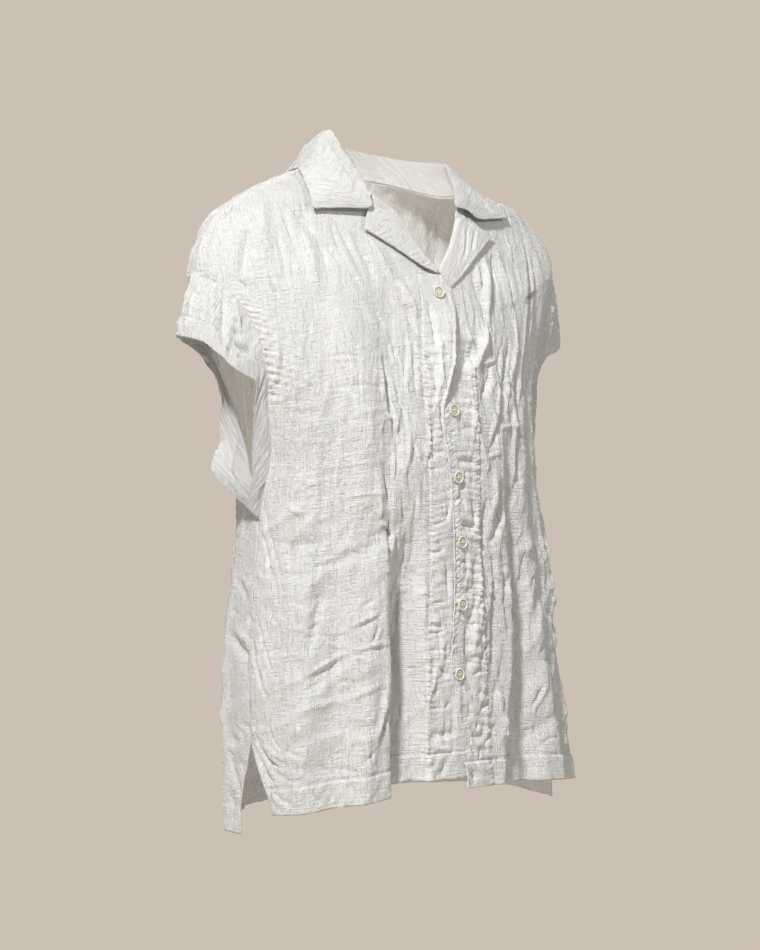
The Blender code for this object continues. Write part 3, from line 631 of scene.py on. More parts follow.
# Creases and lying folds that wear has set in the fronts, by the cloth's grain.
FRONT_CREASES = {
    "right": [
        (-130, 600, -122, 325, 0, 28, 4.5, 0), (-74, 565, -70, 385, 0, 13, -2.4, 0),
        (-174, 679, -144, 618, -1.5, 2.6, -1.9, 0.6), (-144, 619, -140, 583, -0.9, 2.0, -1.4, 0.6),
        (-144, 619, -123, 585, -1.2, 2.2, -1.4, 0.5), (-154, 681, -150, 633, 1.2, 2.0, -1.2, 0.4),
        (-190, 629, -187, 570, -1.0, 2.6, -1.8, 0.5), (-177, 669, -171, 603, 0.6, 2.0, -0.9, 0.3),
        (-179, 594, -180, 563, -0.8, 1.8, -0.9, 0.3), (-221, 637, -233, 588, 1.5, 5.0, -2.2, 0.1),
        (-234, 603, -227, 565, 1.2, 2.2, -1.3, 0.4), (-213, 629, -199, 594, -0.9, 1.8, -0.9, 0.4),
        (-125, 641, -119, 589, 0.9, 2.2, -1.0, 0.2), (-204, 591, -198, 556, 0.5, 2.0, -1.0, 0.3),
        (-157, 629, -156, 551, -0.3, 7, 2.0, 0), (-197, 688, -204, 597, 4.1, 8, 2.0, 0),
        (-122, 644, -104, 582, -2.3, 2.6, -1.2, 0.3), (-103, 625, -84, 563, -2.0, 3.0, -1.6, 0.3),
        (-79, 613, -57, 556, 1.0, 3.2, 1.3, 0.2), (-63, 604, -43, 558, -0.2, 2.4, -1.3, 0.4),
        (-122, 590, -102, 557, 0.2, 2.2, -1.1, 0.4), (-120, 603, -92, 545, 1.5, 3, 1.1, 0.2),
        (-121, 564, -90, 513, -0.8, 4, 1.4, 0.1), (-98, 546, -79, 507, -2.0, 3, -1.3, 0.2),
        (-75, 556, -59, 520, -2.3, 2.4, -1.2, 0.3), (-58, 587, -48, 552, -4.5, 2, 1.0, 0.3),
        (-56, 565, -37, 525, -0.6, 3.6, 3.6, 0.4), (-54, 545, -46, 506, -3.7, 3.2, -2.2, 0.1),
        (-205, 520, -210, 468, -2.3, 2.6, 2.6, 0.4), (-153, 489, -116, 483, -1.4, 1.9, -1.4, 0.6),
        (-153, 486, -117, 480, -1.1, 2.2, 0.9, 0.3), (-87, 491, -86, 415, -0.3, 3.2, -3.0, 0.4),
        (-86, 422, -81, 366, -0.8, 3.0, -2.6, 0.4), (-93, 489, -94, 422, 0.5, 3.0, 1.6, 0.2),
        (-74, 501, -75, 472, 1.2, 2.0, 1.5, 0.6), (-79, 499, -79, 478, -0.3, 2.0, -1.2, 0.3),
        (-146, 455, -99, 450, -2.3, 2.0, -1.0, 0.5), (-184, 469, -172, 470, 0.0, 2.0, 1.0, 0.5),
        (-211, 447, -193, 451, 0.6, 2.0, -1.1, 0.4), (-122, 428, -98, 427, -1.3, 2.0, 1.3, 0.6),
        (-96, 424, -80, 416, 0.9, 2.0, 1.8, 0.7), (-93, 427, -81, 422, -0.6, 1.8, -1.2, 0.5),
        (-165, 427, -154, 429, 0.7, 1.8, -1.0, 0.5), (-173, 538, -169, 516, -0.3, 2.2, -1.0, 0.3),
        (-166, 383, -156, 384, 0.3, 1.8, -1.3, 0.6), (-170, 322, -156, 326, 0.3, 2.0, 1.4, 0.6),
        (-176, 274, -152, 277, 0.3, 2.2, -1.5, 0.5), (-176, 278, -153, 282, 0.5, 2.0, 1.0, 0.4),
        (-101, 374, -93, 324, -2.7, 3.0, -3.0, 0.4), (-93, 324, -92, 270, -1.8, 3.4, -2.8, 0.3),
        (-107, 367, -103, 314, -0.6, 3.0, 1.6, 0.2), (-145, 341, -92, 341, -2.1, 2.0, 1.5, 0.6),
        (-145, 336, -94, 337, -1.9, 2.2, -1.0, 0.3), (-201, 342, -182, 331, 1.1, 1.9, 1.4, 0.6),
        (-229, 352, -212, 281, 3.5, 2.2, -2.0, 0.7), (-234, 319, -216, 254, 0.5, 2.2, -1.9, 0.7),
        (-104, 332, -107, 314, -2.3, 1.8, 1.5, 0.5), (-104, 310, -85, 302, -1.0, 1.9, 1.9, 0.7),
        (-104, 306, -86, 298, -1.7, 1.8, -1.3, 0.4), (-136, 293, -114, 284, 3.1, 1.9, 1.2, 0.6),
        (-99, 288, -83, 281, 0.5, 1.9, 1.4, 0.6), (-107, 260, -90, 261, 0.4, 1.9, 1.5, 0.6),
        (-146, 299, -138, 259, -1.6, 2.4, 0.9, 0.2), (-184, 298, -175, 282, 1.2, 1.8, -1.0, 0.4),
        (-106, 219, -136, 208, 0.2, 2.2, 2.2, 0.8), (-107, 215, -136, 203, -0.5, 2.2, -1.2, 0.3),
        (-136, 208, -165, 205, -2.8, 2.0, 1.4, 0.7), (-89, 185, -139, 182, 1.9, 2.2, 2.2, 0.8),
        (-91, 181, -137, 178, 1.6, 2.4, -1.2, 0.3), (-139, 182, -188, 163, 0.9, 2.4, 2.8, 0.8),
        (-139, 177, -186, 158, 0.6, 2.6, -1.5, 0.3), (-188, 163, -211, 155, -0.1, 2.2, 1.4, 0.6),
        (-103, 146, -145, 133, -0.7, 3.0, 1.8, 0.4), (-145, 133, -198, 126, 3.1, 3.4, 2.0, 0.3),
        (-151, 152, -133, 148, -2.5, 2.0, -1.6, 0.5), (-109, 234, -128, 223, 1.1, 2.2, -1.7, 0.5),
        (-118, 187, -108, 205, 1.2, 2.0, -2.4, 0.7), (-115, 186, -105, 205, 0.6, 2.0, 1.6, 0.5),
        (-137, 180, -121, 170, 1.6, 1.8, 1.1, 0.5), (-162, 196, -150, 189, 0.7, 1.8, 1.2, 0.6),
        (-167, 220, -184, 212, 1.4, 2.0, 1.2, 0.5), (-170, 155, -187, 147, 0.9, 2.0, -1.5, 0.6),
        (-237, 226, -220, 170, 1.8, 2.2, -2.2, 0.8), (-232, 226, -217, 170, 0.7, 2.2, 1.4, 0.4),
        (-246, 205, -227, 146, 5.4, 2.2, -2.2, 0.7), (-240, 205, -223, 148, 1.9, 2.2, 1.3, 0.4),
        (-194, 239, -189, 221, -0.8, 1.8, 1.3, 0.5), (-197, 226, -193, 204, -0.1, 1.8, 1.5, 0.6),
        (-200, 203, -192, 183, 3.8, 1.8, 1.2, 0.5), (-222, 248, -217, 222, 2.6, 2.0, -1.5, 0.5),
        (-245, 189, -208, 195, -0.5, 2.0, -1.3, 0.4), (-242, 172, -224, 177, 0.8, 1.8, -1.1, 0.4),
        (-181, 254, -166, 257, 0.4, 2.0, -1.2, 0.4), (-181, 247, -166, 251, -0.0, 2.0, -1.3, 0.4),
        (-180, 241, -165, 244, -0.5, 2.0, -1.3, 0.4), (-186, 209, -172, 214, -1.3, 2.0, -1.2, 0.4),
        (-188, 201, -175, 203, -1.2, 2.0, -1.2, 0.4), (-170, 255, -184, 186, -4.2, 7, -2.6, 0),
        (-94, 134, -113, 79, -1.8, 2.6, -2.6, 0.6), (-113, 79, -133, 63, 0.3, 2.2, -2.0, 0.6),
        (-100, 135, -118, 82, -2.7, 3.0, 1.5, 0.2), (-152, 64, -140, 57, -1.8, 2.2, -1.8, 0.5),
        (-138, 63, -133, 53, -0.8, 2.0, -1.5, 0.5), (-176, 72, -163, 58, -1.6, 2.0, -1.0, 0.4),
        (-226, 125, -211, 90, 6.0, 2.2, -2.0, 0.6), (-211, 91, -188, 82, 0.3, 2.2, -1.6, 0.5),
        (-245, 107, -210, 73, 8.6, 2.4, -2.4, 0.6), (-237, 105, -206, 79, 4.2, 2.4, 1.4, 0.4),
        (-245, 84, -220, 51, 1.0, 2.2, -2.0, 0.6), (-234, 98, -213, 73, 2.4, 2.0, 1.6, 0.5),
        (-231, 80, -205, 61, 3.2, 2.6, -1.6, 0.3), (-212, 59, -188, 60, 0.1, 2.4, -1.8, 0.4),
        (-226, 51, -196, 32, 1.9, 2.6, -1.8, 0.5), (-228, 47, -205, 32, 0.8, 2.6, 1.2, 0.3),
        (-185, 53, -173, 30, 1.0, 2.6, -1.8, 0.4), (-143, 53, -133, 30, -0.5, 2.4, -1.7, 0.4),
        (-169, 53, -159, 33, -1.4, 2.4, -1.1, 0.3), (-193, 106, -204, 83, -0.4, 8, -1.8, 0),
        (-68, 434, -58, 402, -1.5, 2.4, -1.8, 0.4), (-58, 402, -66, 368, -0.8, 2.4, -1.6, 0.4),
        (-64, 410, -72, 363, 0.2, 2.4, 1.8, 0.4), (-72, 363, -58, 329, 3.6, 2.0, -1.4, 0.4),
        (-78, 345, -70, 301, 1.2, 2.4, -1.8, 0.4), (-58, 352, -56, 310, 0.1, 2.2, 1.4, 0.3),
        (-57, 512, -66, 457, -2.7, 2.4, -1.4, 0.3), (-47, 501, -54, 438, -0.1, 2.4, -1.8, 0.4),
        (-70, 490, -72, 439, 1.5, 2.4, 1.4, 0.3), (-55, 263, -52, 237, -0.5, 1.9, -1.6, 0.5),
        (-69, 306, -65, 269, 0.9, 2.0, -1.4, 0.4), (-58, 300, -55, 262, 1.3, 2.0, -1.4, 0.4),
        (-54, 231, -43, 232, -2.3, 1.8, 1.6, 0.6), (-56, 227, -50, 233, -1.5, 1.8, 1.4, 0.6),
        (-52, 184, -56, 168, -0.2, 2.0, -2.2, 0.6), (-63, 159, -62, 131, -1.3, 2.0, -1.6, 0.5),
        (-62, 131, -69, 94, -0.2, 2.0, -1.6, 0.5), (-79, 252, -62, 245, -4.0, 1.8, -1.2, 0.4),
        (-61, 156, -49, 154, 0.4, 2.0, -1.6, 0.5), (-59, 145, -48, 146, 0.4, 2.0, -1.4, 0.5),
        (-57, 140, -48, 138, -0.5, 2.0, -1.2, 0.5), (-22, 543, -23, 489, -3.3, 2.8, -2.4, 0.4),
        (-38, 482, -27, 481, 0.8, 1.8, -1.5, 0.6), (-15, 483, -8, 482, 0.8, 1.8, -1.6, 0.6),
        (-20, 494, -12, 495, 0.2, 3.6, 2.6, 0.1), (-27, 478, -28, 437, 0.4, 2.0, -1.4, 0.4),
        (-24, 440, -24, 393, -0.1, 2.0, -1.4, 0.4), (-43, 380, -23, 381, 0.4, 2.6, -2.2, 0.3),
        (-43, 363, -28, 363, 0.5, 2.0, -1.8, 0.5), (-28, 330, -23, 306, -0.2, 2.0, -1.8, 0.5),
        (-18, 324, -22, 306, -0.3, 2.0, -1.5, 0.4), (-40, 306, -24, 307, 0.9, 2.2, -2.0, 0.5),
        (-42, 275, -25, 276, 0.0, 2.2, -2.2, 0.5), (-35, 288, -26, 275, -0.4, 2.4, -1.6, 0.3),
        (-24, 266, -21, 224, -2.6, 2.4, -2.2, 0.4), (-41, 223, -23, 221, -0.4, 2.0, -2.0, 0.6),
        (-44, 197, -26, 195, -1.5, 2.0, -2.2, 0.6), (-44, 191, -26, 191, 0.7, 2.0, -2.4, 0.6),
        (-43, 202, -27, 201, -1.1, 2.4, 1.5, 0.3), (-45, 172, -18, 170, -0.9, 2.2, -1.8, 0.4),
        (-44, 155, -35, 155, 1.2, 2.8, -2.4, 0.3), (-32, 155, -20, 145, 1.3, 2.8, -2.2, 0.3),
        (-46, 129, -31, 132, 1.7, 2.0, -2.0, 0.5), (-49, 111, -31, 110, -1.0, 2.0, -2.0, 0.6),
        (-20, 118, -26, 110, -1.7, 2.4, -2.0, 0.4), (-46, 81, -12, 84, -1.0, 6.0, -3.6, 0.0),
        (-52, 71, -19, 65, -1.2, 2.6, 1.8, 0.3), (-26, 54, -34, 39, -0.7, 3.0, -2.2, 0.3),
        (-53, 54, -51, 40, -2.2, 2.4, -1.8, 0.3),
    ],
    "left": [
        (80, 606, 64, 527, 0.8, 3.8, 3.6, 0.2), (64, 529, 27, 467, -3.4, 4.2, 3.8, 0.2),
        (97, 613, 89, 564, -1.1, 3.0, -3.0, 0.3), (53, 581, 55, 547, -2.3, 2.6, -2.2, 0.4),
        (64, 598, 63, 552, 1.6, 3.0, 2.0, 0.2), (65, 587, 57, 517, -0.3, 2.4, -1.6, 0.4),
        (74, 576, 81, 532, -2.8, 2.2, -1.8, 0.5), (101, 606, 105, 545, 1.9, 2.2, -1.3, 0.4),
        (117, 614, 118, 549, -2.4, 2.2, -1.4, 0.4), (110, 623, 119, 564, 5.1, 2.6, 1.3, 0.3),
        (139, 645, 135, 570, 0.6, 2.4, -1.2, 0.4), (136, 656, 137, 589, 0.6, 2.4, 1.2, 0.3),
        (27, 500, 16, 470, -5.5, 7, -4.2, 0), (30, 521, 38, 494, 1.7, 1.9, 1.8, 0.6),
        (47, 480, 33, 438, -9.9, 3.0, -3.4, 0.4), (59, 480, 46, 446, -3.3, 2.4, -2.0, 0.4),
        (39, 481, 73, 488, 3.9, 1.9, 1.8, 0.6), (48, 478, 67, 481, 2.4, 1.9, -1.4, 0.4),
        (75, 460, 98, 466, -0.5, 1.9, 1.8, 0.6), (56, 406, 117, 420, -1.9, 2.0, 2.0, 0.8),
        (36, 375, 65, 384, 0.1, 2.0, 1.8, 0.7), (120, 406, 155, 422, 3.0, 1.8, -2.0, 0.7),
        (101, 515, 88, 475, -2.9, 2.4, -1.6, 0.4), (114, 509, 99, 469, -1.1, 2.6, 1.6, 0.3),
        (156, 580, 140, 514, -1.6, 2.6, -3.0, 0.5), (150, 328, 169, 237, -2.9, 2.4, -1.2, 0.4),
        (155, 328, 180, 238, -1.6, 2.4, 0.5, 0.2), (169, 237, 175, 160, -1.4, 2.4, -0.8, 0.3),
        (131, 133, 116, 102, -0.2, 2.0, -2.2, 0.8), (134, 130, 119, 101, -0.8, 2.0, 1.2, 0.4),
        (168, 183, 124, 161, 4.8, 1.9, -1.4, 0.5), (123, 157, 170, 159, -0.9, 1.8, -1.3, 0.6),
        (92, 81, 112, 86, -0.3, 1.9, -1.3, 0.5), (109, 78, 123, 82, -0.5, 1.9, -1.6, 0.6),
        (126, 62, 154, 71, -4.0, 2.0, -1.8, 0.6), (111, 136, 102, 136, 5.6, 2.2, -1.0, 0.3),
        (133, 254, 121, 236, 2.9, 2.0, -1.2, 0.4), (141, 363, 151, 342, -1.0, 2.0, -1.3, 0.4),
        (67, 354, 46, 286, -6.5, 4.0, -4.0, 0.3), (50, 363, 46, 309, -1.8, 4.0, 2.4, 0.1),
        (36, 330, 32, 265, 2.7, 3.2, -3.4, 0.3), (31, 271, 27, 223, -3.3, 2.6, -3.2, 0.5),
        (32, 233, 20, 210, 0.3, 2.4, -2.0, 0.4), (26, 187, 16, 175, -2.2, 2.4, -2.6, 0.5),
        (46, 282, 50, 244, 1.3, 2.0, -1.6, 0.4), (41, 180, 25, 156, 2.7, 2.0, -1.8, 0.5),
        (51, 163, 43, 115, -5.5, 4.0, -2.2, 0.1), (46, 95, 27, 68, -3.2, 2.0, -2.2, 0.7),
        (44, 126, 41, 93, -1.1, 2.0, -1.6, 0.4), (57, 180, 76, 47, 13.4, 2.4, 1.8, 0.5),
        (-14, 399, -7, 403, 0.0, 2.0, -1.6, 0.5), (2, 405, 23, 405, -0.9, 3.0, -2.4, 0.3),
        (-12, 379, 12, 380, 0.2, 2.0, -1.6, 0.5), (-8, 368, 21, 369, -1.0, 4.5, -3.2, 0.1),
        (6, 360, -1, 337, 0.0, 2.4, -2.0, 0.4), (-6, 343, 2, 316, -2.1, 2.2, -1.8, 0.5),
        (-11, 329, -2, 335, 1.0, 2.0, -1.8, 0.5), (14, 329, 17, 297, -2.7, 3.0, -2.4, 0.3),
        (-3, 305, 17, 297, 0.9, 5.5, -3.2, 0.0), (-6, 262, 5, 266, 1.0, 2.4, -2.2, 0.4),
        (2, 274, 4, 244, -0.9, 2.2, -1.6, 0.4), (14, 265, 14, 235, -1.3, 2.6, -2.0, 0.3),
        (-2, 233, 19, 236, 1.5, 5.5, -3.2, 0.0), (18, 199, 10, 193, 0.5, 3.0, -2.4, 0.3),
        (-1, 196, 0, 165, -1.4, 2.6, -1.6, 0.3), (0, 156, 14, 161, 2.2, 5.0, -3.0, 0.0),
        (25, 150, 9, 143, -1.4, 2.6, -2.4, 0.4), (6, 138, 15, 111, 1.1, 2.0, -1.8, 0.6),
        (-3, 113, 3, 94, -3.5, 3.0, -2.0, 0.3), (20, 103, 36, 112, -0.5, 3.0, -2.4, 0.3),
        (7, 76, 31, 85, 3.2, 5.0, -3.2, 0.0), (18, 95, 15, 81, 0.3, 2.2, -1.6, 0.4),
        (7, 69, 14, 54, -0.1, 2.0, -1.8, 0.5), (20, 68, 17, 52, -1.0, 2.0, -1.8, 0.5),
        (8, 43, 11, 28, -0.1, 2.0, -1.8, 0.5),
    ],
}
FRONT_PLEATS = {
    "right": [
        (-88, 350, -90, 42, 0.3, 13, 36, 2.6), (-55, 355, -54, 42, 0, 10, -34, 2.2),
        (-161, 456, -183, 175, 2.3, 2.6, 15, 1.8),
    ],
    "left": [
        (182, 681, 112, 430, 3, 6, 9, 1.2), (194, 658, 140, 440, -3, 4.5, 9, 1.2),
        (90, 522, 34, 371, 10.6, 5, 9, 1.0), (115, 510, 94, 330, -3.0, 6.5, 11, 1.0),
        (82, 368, 60, 34, 12.8, 11, 42, 3), (48, 288, 39, 115, -2.3, 3.5, 9, 1.2),
    ],
}
FRONT_AREAS = {"right": (-330, 30, 0, 800), "left": (-30, 330, 0, 800)}
FRONT_GAIN, SHOULDER_GAIN, SHOULDER_FROM, SHOULDER_REACH = 1.4, 0.4, 540, 60
FOLD_GAIN = {"right": 1.35, "left": 1.5}
# Long fine creases that hang close together beside each band, and broad low swells aslant above the hem.
# Each row holds an area, a count, lengths, widths, heights, a lean and its spread.
STRANDS = {
    "right": ((-98, -48, 70, 440), 40, (35, 120), (1.3, 2.3), (0.5, 1.6), 90, 5),
    "left": ((38, 120, 60, 560), 60, (35, 120), (1.3, 2.3), (0.5, 1.6), 90, 5),
}
SWELLS = {
    "right": ((-245, -100, 50, 340), 22, (50, 120), (6, 11), (1.2, 2.6), 20, 22),
    "left": ((90, 220, 50, 300), 22, (50, 120), (6, 11), (1.2, 2.6), 60, 22),
}
# Crumpling eases from the hem's share to the shoulder's over a reach of cloth.
WORN_LOW, WORN_EASE, WORN_FROM, WORN_REACH = 1.35, 0.75, 440, 90
RIM = 3.2  # the band's outer stitch line, in from its free edge
RIM_PUCKER = {"right": 0.8, "left": 1.3}
BAND_GATHER = {"right": 0.75, "left": 1.3}
ARMHOLE_LEVEL, ARMHOLE_SPREAD = 7.8, 0.85
ARMHOLE_GATHER = {"right": 1.25, "left": 0.3}
SHOULDER_SEAM = ((3, 1.4, -1.6), (8, 1.8, -2.2), (12.5, 1.8, 2.4))  # distance from the seam, width and depth


def band_relief(side, level, across, up, to_edge, seed):
    """A band below the break: a thicker layer, with puckers along its seam and along its rim."""
    below = np.clip((BREAK_LEVEL - 0.7 - level) / 0.8, 0, 1)
    on_band = step_up(-across, 1, 1.2) * below
    seam = 0.8 * on_band + groove(across - 1.2, 1.3, 1.5) * below
    seam = seam + below * puckers(up, across + 1, seed + 21, 4.6, 4.5, 1.0, -0.35)
    inside_rim, off = step_up(to_edge - RIM, 1, 0.5), to_edge - RIM
    rim = 1.1 * np.exp(-((to_edge / 1.8) ** 2)) + groove(off, 1.0, 1.3)
    rim = rim + puckers(up, off, seed + 23, 5.0, 5.5, RIM_PUCKER[side], -0.7) * inside_rim
    rim = rim + puckers(up, across * 0.5, seed + 26, 10, 12, BAND_GATHER[side], 0.4) * step_up(-across, 1, 3)
    return on_band, seam + rim * below


def side_relief(side, level, up, away, seed):
    """Puckers along the side seam, gathers that die away from the armhole, and grooves along the shoulder."""
    armhole = np.exp(-(((level - ARMHOLE_LEVEL) / ARMHOLE_SPREAD) ** 2))
    gather = puckers(up, away, seed + 24, 7.8, 13, 2.4, 0.5) + puckers(up, away, seed + 27, 15, 16, 0.8, -0.4)
    shoulder = sum(groove(away - off, width, depth) for off, width, depth in SHOULDER_SEAM)
    shoulder = shoulder * np.clip((level - SHOULDER_LEVEL) / 0.5, 0, 1)
    return puckers(up, away, seed + 20, 6, 6, 0.5, 0.3) + armhole * ARMHOLE_GATHER[side] * gather + shoulder


def front_relief(side, level, measures, along_grain, up_grain, seed):
    """Relief over a whole front: crumple, its creases and pleats, the hem, and puckers along its seams."""
    up, across, away = measures["up"], measures["across"], measures["away"]
    on_band, band = band_relief(side, level, across, up, measures["to_edge"], seed)
    worn = WORN_LOW - WORN_EASE * smoothstep((up_grain - WORN_FROM) / WORN_REACH)
    relief = crumple(along_grain, up_grain, seed, FRONT_AREAS[side]) * worn * (1 + 0.1 * on_band)
    relief = relief * np.clip((up - HEM_DEPTH * 0.6) / HEM_DEPTH, 0.3, 1)
    relief = relief + hem_relief(up, across, seed + 22) + band + side_relief(side, level, up, away, seed)
    gain = FRONT_GAIN + SHOULDER_GAIN * smoothstep((up_grain - SHOULDER_FROM) / SHOULDER_REACH)
    relief = relief + gain * creases(FRONT_CREASES[side], along_grain, up_grain)
    relief = relief + FOLD_GAIN[side] * pleats(FRONT_PLEATS[side], along_grain, up_grain)
    relief = relief + scattered(along_grain, up_grain, seed + 30, *STRANDS[side])
    relief = relief + scattered(along_grain, up_grain, seed + 31, *SWELLS[side])
    return relief * np.clip(away / 3, 0, 1) * np.clip((NECK_LEVEL - level) / 0.15, 0, 1)


FAR = 300.0  # stands for the distance to the side seam on a band, which doesn't reach it


def front_cloth(side, level, place, seed):
    """A front over any grid of levels and places: its points, their grain, and distances from its edges."""
    level = np.broadcast_to(level[:, None], (len(level), len(place)))
    turn, lift = front_at(side, place[None, :], level)
    if side == "right":
        level = ridden(turn, level)
    smooth_points = form(turn, level)
    to_edge = run(smooth_points, 1)
    seam = np.flatnonzero(place == 0)[0]
    measures = {
        "up": run(smooth_points, 0),
        "across": to_edge - to_edge[:, seam : seam + 1],
        "to_edge": to_edge,
        "away": to_edge[:, -1:] - to_edge if place[-1] > 0 else np.full(to_edge.shape, FAR),
        "out": outward(turn, level),
    }
    along_grain, up_grain = grain(turn, level)
    relief = front_relief(side, level, measures, along_grain, up_grain, seed)
    return cloth_point("front_" + side, turn, level, relief + lift), along_grain, up_grain, measures


BAND_STEPS, PANEL_STEPS = 18, 124
UNDER_BAND, SINK = 0.12, 1.5  # the share of the band that the panel runs on under, and how far below it


def front_sheet(side, seed):
    """A front's grid over its band and panel, and which of its cells are the panel's own."""
    level = np.concatenate([
        rows_between(HEM_LEVEL, BREAK_LEVEL, STEP),
        rows_between(BREAK_LEVEL, NECK_LEVEL, STEP)[1:],
    ])
    place = np.concatenate([np.linspace(-1, 0, BAND_STEPS + 1)[:-1], np.linspace(0, 1, PANEL_STEPS + 1)])
    own = (place[None, :-1] > -UNDER_BAND) | (level[:-1, None] >= BREAK_LEVEL)
    points, along_grain, up_grain, measures = front_cloth(side, level, place, seed)
    under = (place[None, :] < 0) & (level[:, None] < BREAK_LEVEL)
    return points - measures["out"] * under[..., None] * SINK, along_grain, up_grain, own, measures


def line_on(points, out, measure, value, rows=False):
    """The points of a grid, and the way out there, where a measure reaches a value along a column or row."""
    if rows:
        points, out, measure = points.swapaxes(0, 1), out.swapaxes(0, 1), measure.T
    above = np.clip((measure < value).sum(axis=0), 1, len(measure) - 1)
    column = np.arange(measure.shape[1])
    low, high = measure[above - 1, column], measure[above, column]
    share = np.clip((value - low) / np.maximum(high - low, 1e-6), 0, 1)[:, None]
    before, after = ((grid[above - 1, column], grid[above, column]) for grid in (points, out))
    return tuple(first * (1 - share) + second * share for first, second in (before, after))


SEAM_STITCH = (3.3, 2.3, 0.24)  # from one stitch to the next, the stitch's length, and the thread's radius
STITCH_RINGS = ((-0.5, 0.45, -0.1), (-0.3, 1, 0.1), (0.3, 1, 0.1), (0.5, 0.45, -0.1))  # place, size, height
THREAD_SIDES = 5


def stitched(name, lines, height=0.55, stitch=SEAM_STITCH):
    """Rows of stitches: short round bars along each line, a pitch apart, whose ends dip into the cloth."""
    pitch, stitch_length, thread = stitch
    rings = []
    for points, out in lines:
        length = np.concatenate([[0], np.cumsum(np.linalg.norm(np.diff(points, axis=0), axis=1))])
        place = np.arange(pitch, length[-1] - pitch / 2, pitch)
        centre, ahead, up_out = (
            np.stack([np.interp(at, length, values[:, i]) for i in range(3)], axis=1)
            for at, values in ((place, points), (place + 0.8, points), (place, out))
        )
        along = ahead - centre
        along /= np.maximum(np.linalg.norm(along, axis=1, keepdims=True), 1e-9)
        up_out = up_out - along * (up_out * along).sum(axis=1, keepdims=True)
        up_out /= np.maximum(np.linalg.norm(up_out, axis=1, keepdims=True), 1e-9)
        beside = np.cross(along, up_out)
        angle = np.arange(THREAD_SIDES) * 2 * math.pi / THREAD_SIDES
        circle = np.cos(angle)[:, None, None] * up_out + np.sin(angle)[:, None, None] * beside
        rings.append(np.stack([
            centre + along * share * stitch_length + up_out * (height + dip) + circle * thread * size
            for share, size, dip in STITCH_RINGS
        ]).transpose(2, 0, 1, 3))
    bars = np.concatenate(rings)
    start = np.arange(len(bars))[:, None, None] * len(STITCH_RINGS) * THREAD_SIDES
    side = np.arange(THREAD_SIDES)
    after = (side + 1) % THREAD_SIDES
    low = np.arange(len(STITCH_RINGS) - 1)[:, None] * THREAD_SIDES
    high = low + THREAD_SIDES
    quads = np.stack([low + side, low + after, high + after, high + side], axis=-1)
    quads = (start[..., None] + quads[None]).reshape(-1, 4)
    caps = (start + np.stack([side[::-1], side + high[-1]])).reshape(-1, THREAD_SIDES)
    mesh = bpy.data.meshes.new(name)
    mesh.from_pydata((bars.reshape(-1, 3) * MM).tolist(), [], quads.tolist() + caps.tolist())
    mesh.shade_smooth()
    mesh.materials.append(THREAD_COTTON)
    piece = bpy.data.objects.new(name, mesh)
    bpy.context.scene.collection.objects.link(piece)
    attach(piece, "root")
    return piece


points, across, up, own, measures = front_sheet("right", 10)
right_front = lay_sheet("right_front_cloth", points, across, up, PANEL_LINEN, keep=own)
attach(right_front, "root")
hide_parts("front_right")
panel = slice(BAND_STEPS, None)
hem_line = line_on(points[:, panel], measures["out"][:, panel], measures["up"][:, panel], HEM_STITCH)
hem_stitches = stitched("right_front_stitches", [hem_line])

# -------------------------------------------------------------------------------------------- the left front
# The wearer's left front, of the same linen and cut: the raised left shoulder pulls it into long narrow folds
# from the collar and the shoulder down over the bust.

points, across, up, own, measures = front_sheet("left", 40)
left_front = lay_sheet("left_front_cloth", points, across, up, PANEL_LINEN, keep=own)
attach(left_front, "root")
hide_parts("front_left")
hem_line = line_on(points[:, panel], measures["out"][:, panel], measures["up"][:, panel], HEM_STITCH)
hem_stitches = stitched("left_front_stitches", [hem_line])

# ---------------------------------------------------------------------------------------------- the two bands
# The doubled band along each front's edge, 34 mm wide, folded and stitched down along both sides. Worn and
# washed, the stitching has drawn them up into short puckers.

BAND_LINEN = linen("white linen, doubled", 0.8, (0.90, 0.895, 0.88), (0.80, 0.795, 0.775))
BAND_STEP, BAND_COLUMNS = 1.3, 27
BAND_SEAM_STITCH = -2.2  # the stitch line along the band's seam lies on the band
DOUBLED, DOUBLED_STITCH = 1.0, 0.65  # the wall of doubled cloth, and how high its stitches lie
bands = {}
for side, seed in (("right", 10), ("left", 40)):
    level, place = rows_between(HEM_LEVEL, BREAK_LEVEL, BAND_STEP), np.linspace(-1, 0, BAND_COLUMNS)
    points, across, up, measures = front_cloth(side, level, place, seed)
    bands[side] = points, measures["out"]
    rows = [line_on(points, measures["out"], measures["up"], HEM_STITCH)]
    for measure, value in (("across", BAND_SEAM_STITCH), ("to_edge", RIM)):
        rows.append(line_on(points, measures["out"], measures[measure], value, rows=True))
    band_stitches = stitched(f"{side}_band_stitches", rows, DOUBLED_STITCH)
    band = lay_sheet(f"{side}_band_cloth", points, across, up, BAND_LINEN, wall=DOUBLED)
    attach(band, "root")
    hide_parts(f"placket_{side}")

# ------------------------------------------------------------------------------------------------ the lapels
# The top of each front with its facing, turned back over the front from the roll line. Doubled linen, turned
# out and edge-stitched 5 mm in, which has puckered the long edge.

